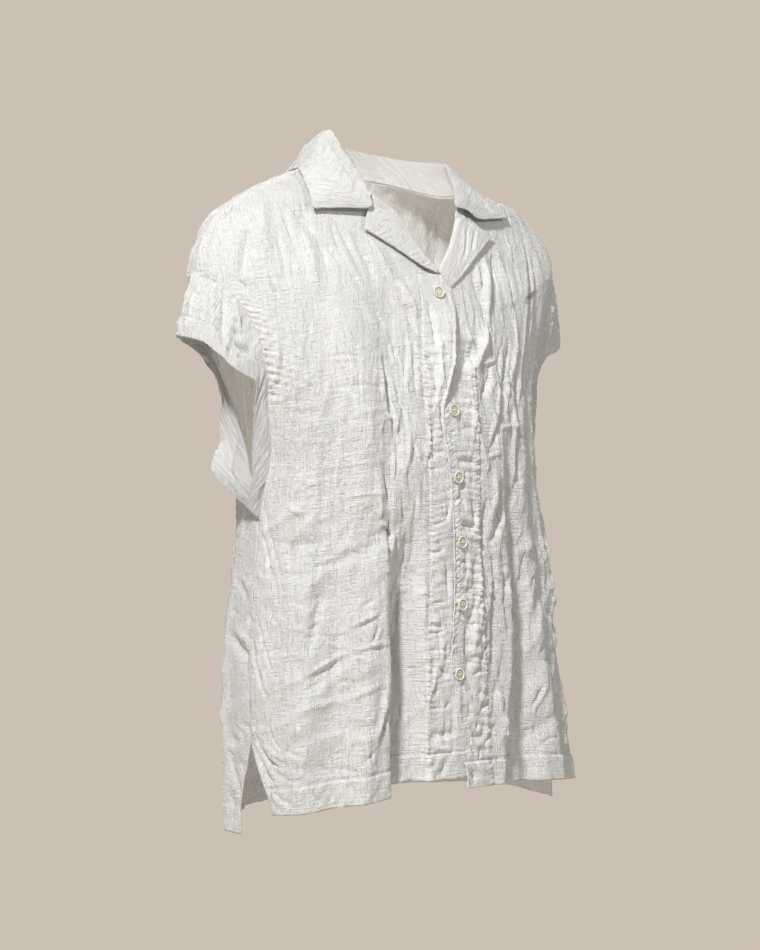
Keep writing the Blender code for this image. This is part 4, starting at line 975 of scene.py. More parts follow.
LAPEL_COLUMNS = ("station", "roll_x", "roll_level", "roll_lift", "edge_x", "edge_level", "edge_lift")
LAPELS = {
    "right": [
        (0, 1, 9.74, 5, -5, 9.68, 5),
        (1, -12.5, 10.02, 4, -24, 9.80, 5),
        (2, -24.5, 10.44, 3, -44, 10.02, 5),
        (3, -41, 11.35, 4, -68, 10.28, 5),
        (4, -66, 11.93, 7, -87, 10.47, 5),
    ],
    "left": [
        (0, 2, 9.78, 0.8, 9, 9.34, 0.6),
        (1, 9, 9.95, 3, 32, 9.62, 4),
        (2, 25, 10.35, 3, 54, 9.92, 5),
        (3, 37, 10.80, 4, 76, 10.18, 5),
        (4, 45, 11.20, 7, 97, 10.42, 5),
    ],
}
LAPEL_CREASES = {
    "right": [
        (6, 40, 20, 70, 3, 2.4, -1.0, 0.3), (10, 60, 28, 92, -3, 2.2, 1.0, 0.3),
        (8, 84, 16, 112, 2, 2, -1, 0.4),
    ],
    "left": [
        (25, 90, 28, 60, -1.3, 2.4, -1.4, 0.4), (9, 79, 16, 39, -1.9, 2.6, 1, 0.2),
        (14, 85, 21, 40, -2.1, 2.2, -1.2, 0.3),
    ],
}
ROLL_RADIUS, ROLL_LIFT, EDGE_STITCH = 4, 0.6, 5
LAPEL_STATIONS, LAPEL_STEPS = 74, 34


def lapel_sheet(side, seed):
    """A lapel's grid: up its roll line, and from there to its free edge, curled down on to the front's edge.

    The curl is a quarter circle from the roll line."""
    station = np.linspace(0, 4, LAPEL_STATIONS)
    at = {name: column[:, None] for name, column in read(LAPEL_COLUMNS, LAPELS[side], station).items()}
    share = np.linspace(0, 1, LAPEL_STEPS)[None, :]
    x = at["roll_x"] + (at["edge_x"] - at["roll_x"]) * share
    level = at["roll_level"] + (at["edge_level"] - at["roll_level"]) * share
    lift = at["roll_lift"] + (at["edge_lift"] - at["roll_lift"]) * share
    turn = turn_at(x, level)
    smooth_points = form(turn, level)
    across, up = run(smooth_points, 1), run(smooth_points, 0)
    to_edge = across[:, -1:] - across
    curl = np.sqrt(1 - (1 - np.clip(across / ROLL_RADIUS, 0, 1)) ** 2)
    lift = ROLL_LIFT + (lift - ROLL_LIFT) * curl
    relief = crumple(across, up, seed, (0, 60, 0, 160), 0.5) + groove(to_edge - EDGE_STITCH)
    relief = relief + puckers(up, to_edge - EDGE_STITCH, seed + 20, 6, 6, 0.8, 0.6)
    relief = relief + creases(LAPEL_CREASES[side], across, up)
    relief = relief * np.clip(across / 10, 0, 1)
    points = cloth_point("front_" + side, turn, level, relief + lift)
    return points, across, up, -to_edge, outward(turn, level)


for side, seed in (("right", 130), ("left", 160)):
    points, across, up, in_from_edge, out = lapel_sheet(side, seed)
    edge_line = line_on(points, out, in_from_edge, -EDGE_STITCH, rows=True)
    lapel_stitches = stitched(f"{side}_lapel_stitches", [edge_line], DOUBLED_STITCH)
    lapel = lay_sheet(f"{side}_lapel_cloth", points, across, up, BAND_LINEN, wall=DOUBLED)
    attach(lapel, "root")
    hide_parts(f"lapel_{side}")

# -------------------------------------------------------------------------------------------------- the back
# The back: one panel of the same linen from side to side, 25 mm longer than the fronts at the sides. It is
# joined to them down to the tops of the vents, and hemmed like them.


BACK_CREASES = [
    (231, 267, 265, 243, -1.6, 3.0, -2.4, 0.4), (241, 269, 269, 254, -1.8, 2.6, 1.8, 0.3),
    (227, 235, 248, 230, 1.3, 2.6, -1.8, 0.4), (230, 208, 279, 185, 1.1, 5.5, -4.0, 0.1),
    (245, 215, 274, 199, -1.8, 4.0, 2.6, 0.1), (267, 214, 277, 202, 0, 2.4, -2.4, 0.4),
    (265, 204, 269, 198, 1, 2.4, -2.2, 0.4), (271, 233, 276, 213, 0, 2.2, -2.0, 0.4),
    (276, 153, 285, 143, 0.5, 2.6, -2.8, 0.4), (236, 144, 260, 142, 1.5, 2.6, -1.2, 0.3),
    (238, 136, 249, 134, 0.6, 2.2, -1.2, 0.4), (263, 116, 284, 108, -1, 3.4, -3.2, 0.3),
    (256, 110, 270, 98, -3.2, 2.4, -2.4, 0.5), (236, 97, 267, 97, 1.6, 6.0, -3.4, 0),
    (239, 84, 242, 78, 1.4, 2.6, -2.4, 0.4), (258, 75, 281, 69, 0.4, 4.6, -3.0, 0.2),
    (258, 70, 273, 65, -1, 2.2, -1.8, 0.4), (241, 78, 252, 52, 2.3, 2.8, -2.8, 0.4),
    (240, 45, 252, 54, 1.2, 3.0, 2.4, 0.2), (264, 60, 275, 45, 1, 4.0, -1.8, 0.2),
    (244, 45, 252, 29, -4.7, 2.6, 1.8, 0.3), (234, 37, 242, 32, 0.3, 2.2, -1.8, 0.4),
    (259, 193, 275, 168, -1.9, 4, -1.6, 0.1), (-185, 650, -118, 560, 7, 4, -2.2, 0.2),
    (-170, 640, -104, 548, 6, 4, 1.4, 0.2), (155, 655, 92, 556, -7, 4, 2.2, 0.2),
    (128, 640, 84, 575, -5, 3, -1.6, 0.3), (-62, 430, -78, 240, 3, 5, -2.6, 0.2),
    (42, 505, 58, 292, 4, 5, 2.4, 0.2), (12, 372, 6, 208, -3, 5, -2.2, 0.2),
    (-205, 305, -148, 252, 4, 2.6, -1.8, 0.5), (118, 214, 196, 168, -5, 2.6, -2.0, 0.5),
    (-96, 186, -28, 163, 3, 2.4, 1.6, 0.6), (8, 128, 96, 152, 3, 2.4, -1.7, 0.5),
    (-242, 474, -234, 322, 2, 4, 2.2, 0.2), (203, 566, 216, 414, -3, 4, -2.2, 0.2),
    (-32, 694, -38, 566, 1, 4, 1.6, 0.1), (56, 352, 148, 318, 4, 2.4, 1.6, 0.5),
    (-160, 128, -92, 96, 3, 3, -2.0, 0.4), (148, 96, 214, 72, -3, 3, 1.8, 0.4),
    (-222, 208, -176, 196, 2, 2.4, 1.5, 0.6),
]


BACK_STEP, BACK_COLUMNS, BACK_GAIN = 2.9, 191, 1.4
# Long fine creases, and broad low swells above the hem, each as the fronts have them.
BACK_STRANDS = ((-270, 270, 60, 620), 150, (35, 140), (1.6, 3.0), (0.6, 1.8), 90, 9)
BACK_SWELLS = ((-260, 260, 60, 420), 44, (50, 130), (6, 11), (1.4, 2.8), 15, 30)
HEM_LIFT, HEM_LIFT_REACH = 12, 150  # the hem rides up at the centre back, and the cloth above it with it


def back_sheet(seed):
    """The back's grid: from the left side over the centre back to the right side, and from hem to neck."""
    level = rows_between(0, NECK_LEVEL, BACK_STEP)
    edges = read(EDGE_COLUMNS, EDGES, level)
    left, right = edges["left_back"][:, None], 360 - edges["right_back"][:, None]
    share = np.linspace(0, 1, BACK_COLUMNS)[None, :]
    turn = left + (right - left) * share
    turn = np.where(turn > 180, turn - 360, turn)
    level = np.broadcast_to(level[:, None], turn.shape)
    smooth_points = form(turn, level)
    across, up = run(smooth_points, 1), run(smooth_points, 0)
    width = across[:, -1:]
    centre_back, _ = grain(np.where(turn > 0, 180.0, -180.0), level)
    along_grain, up_grain = grain(turn, level)
    along_grain = along_grain - centre_back
    relief = crumple(along_grain, up_grain, seed, (-310, 310, 0, 800))
    relief = relief * np.clip((up - HEM_DEPTH * 0.6) / HEM_DEPTH, 0.35, 1)
    relief = relief + BACK_GAIN * creases(BACK_CREASES, along_grain, up_grain)
    relief = relief + scattered(along_grain, up_grain, seed + 30, *BACK_STRANDS)
    relief = relief + scattered(along_grain, up_grain, seed + 31, *BACK_SWELLS)
    relief = relief + hem_relief(up, across, seed + 22)
    relief = relief + puckers(up, across, seed + 20, 6, 6, 0.5)
    relief = relief + puckers(up, width - across, seed + 21, 6, 6, 0.5)
    inside = np.clip(np.minimum(across, width - across) / 3, 0, 1)
    at_seams = inside * np.clip((NECK_LEVEL - level) / 0.15, 0, 1)
    points = cloth_point("back", turn, level, relief * at_seams)
    middle = smoothstep(5 * share) * smoothstep(4 - 4 * share)
    points[..., 2] += HEM_LIFT * (1 - smoothstep(up / HEM_LIFT_REACH)) * middle
    return points, along_grain, up_grain, up, outward(turn, level)


points, across, up, above_hem, out = back_sheet(190)
back_stitches = stitched("back_stitches", [line_on(points, out, above_hem, HEM_STITCH)])
back = lay_sheet("back_cloth", points, across, up, PANEL_LINEN)
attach(back, "root")
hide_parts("back")

# ----------------------------------------------------------------------------------------------- the sleeves
# Short sleeves cut straight on to a dropped shoulder: one tube each, set into the armhole with a seam that
# gathers the body's cloth, and hemmed 20 mm deep.

SLEEVE_COLUMNS = ("round", "x", "y", "z")
SLEEVE_HEMS = {
    "right": [
        (0, -270, 20, -190),
        (22, -264, -14, -197),
        (45, -251, -31, -213),
        (65, -240, -40, -226),
        (85, -215, -41, -239),
        (110, -211, -32, -268),
        (135, -207, -25, -298),
        (155, -206, -22, -330),
        (180, -207, -13, -362),
        (205, -225, 22, -328),
        (235, -206, 35, -294),
        (265, -213, 22, -245),
        (305, -229, 27, -215),
        (335, -248, 36, -196),
        (360, -270, 20, -190),
    ],
    "left": [
        (0, 275, 20, -179),
        (25, 258, 4, -186),
        (50, 232, -10, -193),
        (75, 207, -22, -204),
        (100, 194, -24, -238),
        (140, 196, -14, -296),
        (180, 206, 6, -350),
        (220, 216, 36, -308),
        (260, 220, 50, -250),
        (300, 236, 54, -212),
        (335, 264, 44, -186),
        (360, 275, 20, -179),
    ],
}
SLEEVE_CREASES = {
    "right": [
        (12, 4, 13, 66, 0.7, 1.6, 1.6, 0.6), (39, 5, 61, 53, 2.1, 3.6, -2.2, 0.1),
        (7, 19, 22, 28, 0.6, 1.7, -1.2, 0.6), (65, 29, 82, 20, 0, 1.8, -1.5, 0.6),
        (65, 49, 74, 41, -0.2, 1.6, -1.2, 0.6), (77, 32, 101, 18, -0.5, 1.8, -1.6, 0.6),
        (82, 37, 92, 29, 0.1, 1.6, -1.2, 0.6), (25, 4, 48, 55, 2.1, 2.2, 0.9, 0.2),
        (57, 4, 81, 24, 0, 2.2, 1.3, 0.3), (71, 32, 96, 17, -0.3, 1.6, 1.2, 0.5),
        (150, 10, 190, 40, 4, 2.4, -1.2, 0.3), (300, 8, 322, 50, 3, 2.4, -1.2, 0.3),
        (360, 10, 372, 52, 2, 2.6, 1.3, 0.2), (420, 8, 432, 50, -2, 2.2, -1.1, 0.3),
    ],
    "left": [
        (81, 4, 53, 52, -1.7, 2, 1, 0.3), (100, 10, 80, 46, 2, 2.2, -1.2, 0.4),
        (20, 8, 34, 50, 2, 2.4, -1.2, 0.3), (140, 12, 180, 36, 4, 2.4, 1.1, 0.3),
        (300, 8, 322, 50, 3, 2.4, -1.2, 0.3), (370, 10, 352, 52, 2, 2.6, 1.3, 0.2),
        (60, 6, 66, 50, 1.5, 3, -2.2, 0.2), (72, 5, 78, 48, -1, 2.2, 1.6, 0.4),
        (90, 6, 88, 52, 1, 3, -2.2, 0.2), (110, 8, 104, 50, 1, 2.4, 1.4, 0.4),
        (66, 30, 96, 26, 1, 2, -1.4, 0.5), (50, 14, 84, 12, 1, 2, -1.2, 0.5),
    ],
}
SLEEVE_SWELL, SLEEVE_RISE, SLEEVE_HEM = 3, 1.2, 20
SLEEVE_STEPS_ROUND, SLEEVE_STEPS_OUT = 230, 44
# How strongly each sleeve is crumpled, gathered along its seam, creased, and drawn up along its hem.
SLEEVE_RELIEF = {"right": (1.25, 2.0, 2.6, 1.0), "left": (1.0, 1.0, 1.8, 0.4)}
ARMHOLE_LEVELS = np.array([9, 8.9, 8.8, 8.6, 8.3, 8, 7.75, 7.5, 7.25, 7, 6.7, 6.33, 6, 5.67, 5.33, 5])
ARMHOLE_STEPS = 2 * (len(ARMHOLE_LEVELS) - 1)


def sleeve_ring(side, step):
    """The armhole and the hem at each step round a sleeve, down the front and up the back."""
    sign = -1 if side == "right" else 1
    down = np.minimum(step, ARMHOLE_STEPS - step)
    level = np.interp(down, np.arange(len(ARMHOLE_LEVELS)), ARMHOLE_LEVELS)
    edge = read(EDGE_COLUMNS, EDGES, level)
    flat = np.zeros(level.shape)
    ahead = cloth_point("front_" + side, sign * edge[side + "_front"], level, flat)
    behind = cloth_point("back", sign * edge[side + "_back"], level, flat)
    seam = np.where((step <= ARMHOLE_STEPS / 2)[:, None], ahead, behind)
    hem = read(SLEEVE_COLUMNS, SLEEVE_HEMS[side], step * 360 / ARMHOLE_STEPS)
    return seam, np.stack([hem["x"], hem["y"], hem["z"]], axis=1)


def sleeve_sheet(side, seed):
    """A sleeve's grid: straight from the armhole to the hem with a half-sine swell, evenly spaced round."""
    sign = -1 if side == "right" else 1
    fine = np.linspace(0, ARMHOLE_STEPS, 1201)
    seam, hem = sleeve_ring(side, fine)
    length = run(((seam + hem) / 2)[None], 1)[0]
    step = np.interp(np.linspace(0, length[-1], SLEEVE_STEPS_ROUND + 1), length, fine)[:-1]
    seam, hem = sleeve_ring(side, step)
    share = np.linspace(-0.01, 1, SLEEVE_STEPS_OUT + 1)[:, None, None]
    swell = np.array([sign * SLEEVE_SWELL, 0, SLEEVE_RISE]) * np.sin(math.pi * share)
    points = seam[None] + (hem - seam)[None] * share + swell
    closed = np.concatenate([points, points[:, :1]], axis=1)
    across, out = run(closed, 1), run(closed, 0)
    normal = facing(points, around=True) * sign
    to_hem = out[-1:] - out
    crumpled, gathered, creased, hemmed = SLEEVE_RELIEF[side]
    relief = crumple(across, out, seed, (0, 480, 0, 90), crumpled)
    relief = relief + puckers(across, out, seed + 20, 8, 11, gathered, 0.6)
    relief = relief + creased * creases(SLEEVE_CREASES[side], across, out)
    relief = relief + hemmed * hem_relief(to_hem, across, seed + 21, SLEEVE_HEM)
    relief = relief * np.clip(out / 4, 0, 1) * np.clip(out[-1:] / 60, 0.35, 1)
    return points + normal * relief[:, :-1, None], across, out, -to_hem[:, :-1], normal


for side, seed in (("right", 220), ("left", 250)):
    points, across, up, above_hem, out = sleeve_sheet(side, seed)
    sleeve_stitches = stitched(f"{side}_sleeve_stitches", [line_on(points, out, above_hem, -SLEEVE_HEM + 2)])
    sleeve = lay_sheet(f"{side}_sleeve_cloth", points, across, up, PANEL_LINEN, around=True)
    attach(sleeve, "root")
    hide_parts(f"sleeve_{side}")

# ------------------------------------------------------------------------------------------------ the collar
# A notched camp collar, doubled linen cut in one: it rises from the neckline to the roll line, and falls over
# the shoulders from there. Turned out and edge-stitched 5 mm in.

COLLAR_COLUMNS = (
    "station", "neck_turn", "roll_x", "roll_y", "roll_z",
    "fall_turn", "fall_level", "fall_lift", "leaf_turn", "leaf_level", "leaf_lift",
)
COLLAR = [
    (0, -48, -76, -56, -35, -26, 11.10, 10, -46, 10.70, 8),
    (1, -60, -79, -40, -12, -45, 11.89, 9, -52.5, 11.22, 6),
    (2, -75, -81, -20, 11, -68, 12.67, 10, -69, 11.90, 4),
    (3, -90, -84, 4, 38, -94, 12.95, 17, -96, 12.36, 1.5),
    (4, -118, -72, 34, 36, -122, 12.88, 14, -132, 12.05, 0.8),
    (5, -148, -45, 55, 34, -151, 12.90, 19, -161, 11.60, 3.5),
    (6, -180, 0, 63, 30, -180, 12.90, 19, -180, 11.30, 11),
    (7, -212, 45, 55, 25, -205, 12.85, 18, -198, 11.50, 9),
    (8, -242, 71, 32, 20, -236, 12.85, 17, -226, 12.15, 6),
    (9, -270, 78, 2, 16, -268, 12.90, 22, -266, 12.50, 8),
    (10, -285, 70, -18, -1, -296, 12.64, 12, -292, 12.09, 5),
    (11, -300, 60, -38, -19, -319, 11.78, 7, -305, 11.55, 5),
    (12, -312, 47, -54, -39, -335, 11.05, 9, -315, 10.80, 7),
]
SEAM_RISE, LEAF_CROWN = 0.8, 3
COLLAR_COLUMNS_ROUND, COLLAR_ROWS, LEAF_START, COLLAR_GAIN = 231, 46, 24, 1.5
COLLAR_CREASES = [
    (71, 74, 36, 42, -16, 2.4, -1.7, 0.3), (77, 65, 25, 44, -15, 2.6, 1.4, 0.2),
    (40, 76, 12, 64, 0.8, 2.4, -1.6, 0.3), (29, 80, 10, 73, 4, 2.2, 1.2, 0.2),
    (33, 47, 5, 50, -2.6, 1.8, -1.3, 0.5), (28, 63, 11, 56, -1, 2, 0.9, 0.3),
    (11, 99, 3, 103, -1.4, 1.8, -1.1, 0.5), (15, 81, 4, 92, -0.4, 1.8, -0.8, 0.4),
    (85, 62, 87, 41, -4, 1.8, -0.9, 0.4), (93, 47, 50, 34, -7, 3, 0.9, 0.1),
    (417, 49, 462, 89, 9, 2, -1.2, 0.4), (435, 62, 463, 106, 3.5, 2, 1.1, 0.3),
    (391, 42, 441, 59, 0, 2.2, -1, 0.4), (150, 50, 185, 78, 4, 2.4, -1.1, 0.3),
    (230, 44, 300, 60, -6, 2.8, 1.1, 0.2), (250, 80, 262, 52, 2, 2.2, -1.2, 0.4),
    (330, 50, 352, 76, -4, 2.4, 1.1, 0.3), (120, 76, 138, 48, 3, 2.2, 1, 0.3),
]


def on_panels(turn, level, lift):
    """A point off the panels by a lift, with no folds. Turns may run on past the centre back."""
    turn = np.where(turn < -180, turn + 360, turn)
    return form(turn, level) + outward(turn, level) * lift[:, None]


def curve_through(keys, steps):
    """Rows on a smooth curve through key rows: cubic pieces, with the slopes of the chords across them."""
    place = np.linspace(0, len(keys) - 1, steps)
    i = np.minimum(place.astype(int), len(keys) - 2)
    t = (place - i)[:, None, None]
    slope = np.gradient(keys, axis=0)
    return (
        (2 * t**3 - 3 * t**2 + 1) * keys[i]
        + (t**3 - 2 * t**2 + t) * slope[i]
        + (3 * t**2 - 2 * t**3) * keys[i + 1]
        + (t**3 - t**2) * slope[i + 1]
    )


def collar_sheet(seed):
    """The collar's grid: from the right notch round the neck to the left one, and from neckline to edge."""
    at = read(COLLAR_COLUMNS, COLLAR, np.linspace(0, len(COLLAR) - 1, COLLAR_COLUMNS_ROUND))
    neck = np.full(COLLAR_COLUMNS_ROUND, float(NECK_LEVEL))
    turn = np.where(at["neck_turn"] < -180, at["neck_turn"] + 360, at["neck_turn"])
    seam = form(turn, neck) + np.array([0, 0, SEAM_RISE])
    roll = np.stack([at["roll_x"], at["roll_y"], at["roll_z"]], axis=1)
    fall = on_panels(at["fall_turn"], at["fall_level"], at["fall_lift"])
    leaf = on_panels(at["leaf_turn"], at["leaf_level"], at["leaf_lift"])
    middle = on_panels(*((at["fall_" + name] + at["leaf_" + name]) / 2 for name in ("turn", "level", "lift")))
    arch = (roll + fall) / 2 + np.array([0, 0, LEAF_CROWN])
    keys = np.stack([seam, (seam + roll) / 2, roll, arch, fall, middle, leaf])
    points = curve_through(keys, COLLAR_ROWS)
    across, up = run(points, 1), run(points, 0)
    normal = facing(points)
    to_edge = up[-1:] - up
    ends = np.minimum(across, across[:, -1:] - across)
    relief = crumple(across, up, seed, (0, 560, 0, 120), 0.3)
    relief = relief + groove(to_edge - EDGE_STITCH) + groove(ends - EDGE_STITCH)
    relief = relief + puckers(across, to_edge - EDGE_STITCH, seed + 20, 5.4, 7, 1.1, 0.3)
    relief = relief + COLLAR_GAIN * creases(COLLAR_CREASES, across, up)
    leaf = slice(LEAF_START, None)
    points = points + normal * relief[..., None]
    lines = [
        line_on(points, normal, -to_edge, -EDGE_STITCH),
        line_on(points[leaf], normal[leaf], across[leaf], EDGE_STITCH, rows=True),
        line_on(points[leaf], normal[leaf], (across - across[:, -1:])[leaf], -EDGE_STITCH, rows=True),
    ]
    return points, across, up, lines


points, across, up, lines = collar_sheet(280)
collar_stitches = stitched("collar_stitches", lines, 0.7)
collar = lay_sheet("collar_cloth", points, across, up, BAND_LINEN, wall=1.1)
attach(collar, "root")
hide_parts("collar")

# ----------------------------------------------------------------------------------------------- the buttons
# Seven round four-hole buttons of 12.8 mm, cream and satin, with a raised rim round a groove and a slightly
# domed middle. Each is sewn on with white thread: the top one on the right band, the rest on the left band.

BUTTON_RADIUS, BUTTON_SEAT = 6.4, 0.7
HOLE_SIZE, HOLE_PITCH, HOLE_DEPTH = 0.72, 1.4, 1.5
BUTTON_STEPS, BUTTON_TURNS = 34, 72
BUTTON_STITCH = (4.3, 3.4, 0.3)
TIE_REACH, TIE_POINTS = 2.9, 9
# The profile from the middle of the face over the rim to the middle of the back: radius and height.
BUTTON_PROFILE = [
    (0, 1.75), (1.5, 1.72), (2.9, 1.6), (3.6, 1.35), (4.1, 1.15), (4.6, 1.5), (5.0, 2.2), (5.4, 2.55),
    (5.8, 2.6), (6.2, 2.35), (6.4, 1.8), (6.35, 1.1), (5.9, 0.5), (4.5, 0.1), (0, 0),
]
NUDGE = {1: (-7, 3), 3: (2, 0)}
LEAN = {1: (-0.3, 0, 0)}


def horn_finish():
    """Cream moulded button: satin, with painted shade, darker and greener, in its groove and holes."""
    material = bpy.data.materials.new("cream button")
    material.use_nodes = True
    tree = material.node_tree
    shader = tree.nodes["Principled BSDF"]
    shader.inputs["Roughness"].default_value = 0.32
    shader.inputs["Coat Weight"].default_value = 0.15
    uv = tree.nodes.new("ShaderNodeUVMap")
    uv.uv_map = "button"
    split = tree.nodes.new("ShaderNodeSeparateXYZ")
    tree.links.new(uv.outputs["UV"], split.inputs[0])
    ramp = tree.nodes.new("ShaderNodeValToRGB")
    # The dark stops at the groove's share of the radius paint shade into the groove; the holes are given the
    # same share, so they are painted dark too.
    stops = ((0.0, (0.76, 0.73, 0.60)), (0.5, (0.74, 0.71, 0.58)), (0.61, (0.36, 0.33, 0.23)),
             (0.69, (0.40, 0.37, 0.26)), (0.77, (0.84, 0.81, 0.70)), (1.0, (0.80, 0.77, 0.66)))
    while len(ramp.color_ramp.elements) < len(stops):
        ramp.color_ramp.elements.new(0.5)
    for element, (at, colour) in zip(ramp.color_ramp.elements, stops):
        element.position = at
        element.color = (*colour, 1)
    tree.links.new(split.outputs["X"], ramp.inputs["Fac"])
    place = tree.nodes.new("ShaderNodeTexCoord")
    cloud = noise_node(tree, place.outputs["Object"], 420, 3, (1, 1, 1))
    mottle = tree.nodes.new("ShaderNodeMix")
    mottle.data_type = "RGBA"
    mottle.blend_type = "MULTIPLY"
    mottle.inputs[0].default_value = 0.35
    tree.links.new(ramp.outputs["Color"], mottle.inputs[6])
    grey = tree.nodes.new("ShaderNodeCombineColor")
    for channel in range(3):
        tree.links.new(math_node(tree, "ADD", cloud, 0.45), grey.inputs[channel])
    tree.links.new(grey.outputs["Color"], mottle.inputs[7])
    tree.links.new(mottle.outputs[2], shader.inputs["Base Color"])
    bump = tree.nodes.new("ShaderNodeBump")
    bump.inputs["Distance"].default_value = 0.0002
    bump.inputs["Strength"].default_value = 0.4
    tree.links.new(cloud, bump.inputs["Height"])
    tree.links.new(bump.outputs["Normal"], shader.inputs["Normal"])
    return material


BUTTON_CREAM = horn_finish()


def button_sheet():
    """A button at the origin: its profile turned about the axis, and four holes sunk as exp(-distance^8)."""
    profile = np.array(BUTTON_PROFILE, float)
    length = run(profile[None], 1)[0]
    along = np.linspace(0, length[-1], BUTTON_STEPS)
    radius, height = (np.interp(along, length, profile[:, i])[:, None] for i in range(2))
    angle = np.arange(BUTTON_TURNS)[None] * 2 * math.pi / BUTTON_TURNS
    x, y = radius * np.cos(angle), radius * np.sin(angle)
    face = (along[:, None] < length[8]) * 1.0
    near = np.hypot(np.abs(x) - HOLE_PITCH, np.abs(y) - HOLE_PITCH) / HOLE_SIZE
    z = height - face * HOLE_DEPTH * np.exp(-(near**8))
    # Where the finish's ramp reads its colour: the share of the radius, and in the holes the groove's share,
    # so both get painted shade.
    groove_shade = np.where(near < 1.15, 0.66, radius / BUTTON_RADIUS)
    return np.stack([x, y, z], axis=-1), groove_shade


def sew_button(number, points, out):
    """A button flat on the band at its solid's place, tied down by two bars of thread through its holes."""
    middle = np.array(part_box(f"button_{number}")).mean(axis=0) / MM
    nudge = NUDGE.get(number, (0, 0))
    middle = middle + np.array([nudge[0], 0, nudge[1]])
    gap = np.hypot(points[..., 0] - middle[0], points[..., 2] - middle[2])
    near = gap < BUTTON_RADIUS
    axis = out[near].mean(axis=0) + np.array(LEAN.get(number, (0, 0, 0)))
    axis /= np.linalg.norm(axis)
    seat = points[near].mean(axis=0)
    seat = seat + (middle - seat) - axis * ((middle - seat) @ axis)
    seat = seat + axis * (np.percentile((points[near] - seat) @ axis, 80) + BUTTON_SEAT)
    level_way = np.cross([0, 0, 1.0], axis)
    level_way /= np.linalg.norm(level_way)
    frame_way = np.stack([level_way, np.cross(axis, level_way), axis])
    shape, groove_shade = button_sheet()
    shape = shape @ frame_way + seat
    rows, cols = groove_shade.shape
    r, c = (grid.ravel() for grid in np.mgrid[0 : rows - 1, 0:cols])
    corner_r = np.stack([r, r + 1, r + 1, r], axis=1)
    corner_c = np.stack([c, c, c + 1, c + 1], axis=1)
    mesh = bpy.data.meshes.new(f"button_{number}_sewn")
    mesh.from_pydata((shape.reshape(-1, 3) * MM).tolist(), [], (corner_r * cols + corner_c % cols).tolist())
    # The UV map carries the place of the painted shade, the groove and the holes, to the finish.
    uv = np.stack([np.broadcast_to(groove_shade, (rows, cols))[corner_r, corner_c % cols], corner_c / cols], axis=-1)
    mesh.uv_layers.new(name="button").data.foreach_set("uv", uv.astype(np.float32).ravel())
    edit = bmesh.new()
    edit.from_mesh(mesh)
    bmesh.ops.remove_doubles(edit, verts=edit.verts, dist=0.00001)
    edit.to_mesh(mesh)
    edit.free()
    mesh.shade_smooth()
    mesh.materials.append(BUTTON_CREAM)
    piece = bpy.data.objects.new(f"button_{number}_sewn", mesh)
    bpy.context.scene.collection.objects.link(piece)
    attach(piece, "root")
    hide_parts(f"button_{number}")
    bars = []
    for x in (-HOLE_PITCH, HOLE_PITCH):
        reach = HOLE_PITCH + TIE_REACH
        bar = np.array([[x, y, BUTTON_PROFILE[0][1]] for y in np.linspace(-reach, reach, TIE_POINTS)])
        bars.append((bar @ frame_way + seat, np.repeat(axis[None], TIE_POINTS, axis=0)))
    return bars


ties = []
for number in range(1, 8):
    ties += sew_button(number, *bands["right" if number == 1 else "left"])
stitched("button_threads", ties, 0.25, BUTTON_STITCH)

# ------------------------------------------------------------------------------------------------ the studio
# A pale floor and a warm pale surround. The key lamp stands in front on the wearer's right, with a weak fill
# on the left, one lamp behind and a low warm bounce. Small warm lamps inside the body and the sleeves stand
# in for the light that comes through thin linen.

CENTRE = Vector((0, 0, -0.333))
floor_mesh = bpy.data.meshes.new("floor")
edit = bmesh.new()
bmesh.ops.create_circle(edit, cap_ends=True, radius=1.0, segments=96)
edit.to_mesh(floor_mesh)
edit.free()
floor_mesh.transform(Matrix.Translation((0, 0, -1.43)))
floor = bpy.data.objects.new("floor", floor_mesh)
bpy.context.scene.collection.objects.link(floor)
floor_paint = bpy.data.materials.new("floor")
floor_paint.use_nodes = True
floor_paint.node_tree.nodes["Principled BSDF"].inputs["Base Color"].default_value = (0.62, 0.55, 0.49, 1)
floor_paint.node_tree.nodes["Principled BSDF"].inputs["Roughness"].default_value = 0.9
floor_mesh.materials.append(floor_paint)

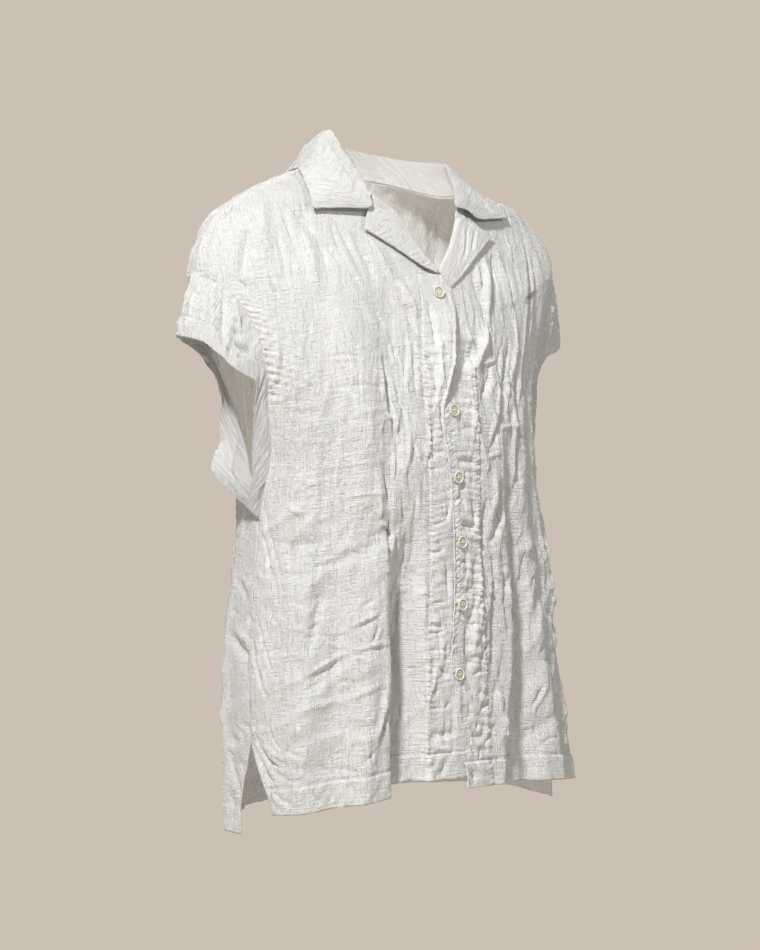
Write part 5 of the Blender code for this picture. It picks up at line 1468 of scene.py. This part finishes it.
world = bpy.data.worlds.new("surround")
bpy.context.scene.world = world
world.use_nodes = True
backdrop = world.node_tree.nodes["Background"]
backdrop.inputs["Color"].default_value = (0.604, 0.527, 0.456, 1)
room = world.node_tree.nodes.new("ShaderNodeBackground")
room.inputs["Color"].default_value = (1.0, 0.96, 0.88, 1)
room.inputs["Strength"].default_value = 0.245
seen = world.node_tree.nodes.new("ShaderNodeLightPath")
either = world.node_tree.nodes.new("ShaderNodeMixShader")
world.node_tree.links.new(seen.outputs["Is Camera Ray"], either.inputs[0])
world.node_tree.links.new(room.outputs[0], either.inputs[1])
world.node_tree.links.new(backdrop.outputs[0], either.inputs[2])
world.node_tree.links.new(either.outputs[0], world.node_tree.nodes["World Output"].inputs["Surface"])
bpy.context.scene.view_settings.view_transform = "Standard"


def lamp(name, place, size, power, colour):
    """A square soft lamp at a place, turned to face the shirt."""
    light = bpy.data.lights.new(name, "AREA")
    light.size = size
    light.energy = power
    light.color = colour
    made = bpy.data.objects.new(name, light)
    made.location = place
    made.rotation_mode = "QUATERNION"
    made.rotation_quaternion = (CENTRE - Vector(place)).to_track_quat("-Z", "Y")
    bpy.context.scene.collection.objects.link(made)


lamp("key", (-2.15, -1.4, 1.75), 0.35, 94, (1.0, 1.0, 1.0))
lamp("fill", (1.2, -2.4, 0.8), 0.5, 19, (1.0, 0.99, 0.97))
lamp("behind", (1.5, 2.3, 0.9), 0.8, 85, (1.0, 0.995, 0.99))
lamp("bounce", (-2.3, -0.6, -1.6), 1.6, 12, (1.0, 0.95, 0.88))

INSIDE = (
    ((0, 0.01, -0.12), 0.2, 0.04), ((0, 0.01, -0.33), 0.19, 0.04), ((0, 0.01, -0.58), 0.1, 0.04),
    ((-0.228, 0, -0.262), 0.006, 0.015), ((0.225, 0.01, -0.25), 0.006, 0.015),
)
for place, power, size in INSIDE:
    glow = bpy.data.lights.new("inside", "POINT")
    glow.shadow_soft_size = size
    glow.energy = power
    glow.color = (1.0, 0.93, 0.82)
    hung = bpy.data.objects.new("inside", glow)
    hung.location = place
    hung.visible_camera = False
    bpy.context.scene.collection.objects.link(hung)

lens = bpy.data.cameras.new("camera")
lens.lens = 82.7
lens.shift_x = -0.01158
camera = bpy.data.objects.new("camera", lens)
camera.location = (-1.5427, -1.8385, -0.333)
camera.rotation_euler = (math.radians(90), 0, math.radians(-40))
bpy.context.scene.collection.objects.link(camera)
bpy.context.scene.camera = camera
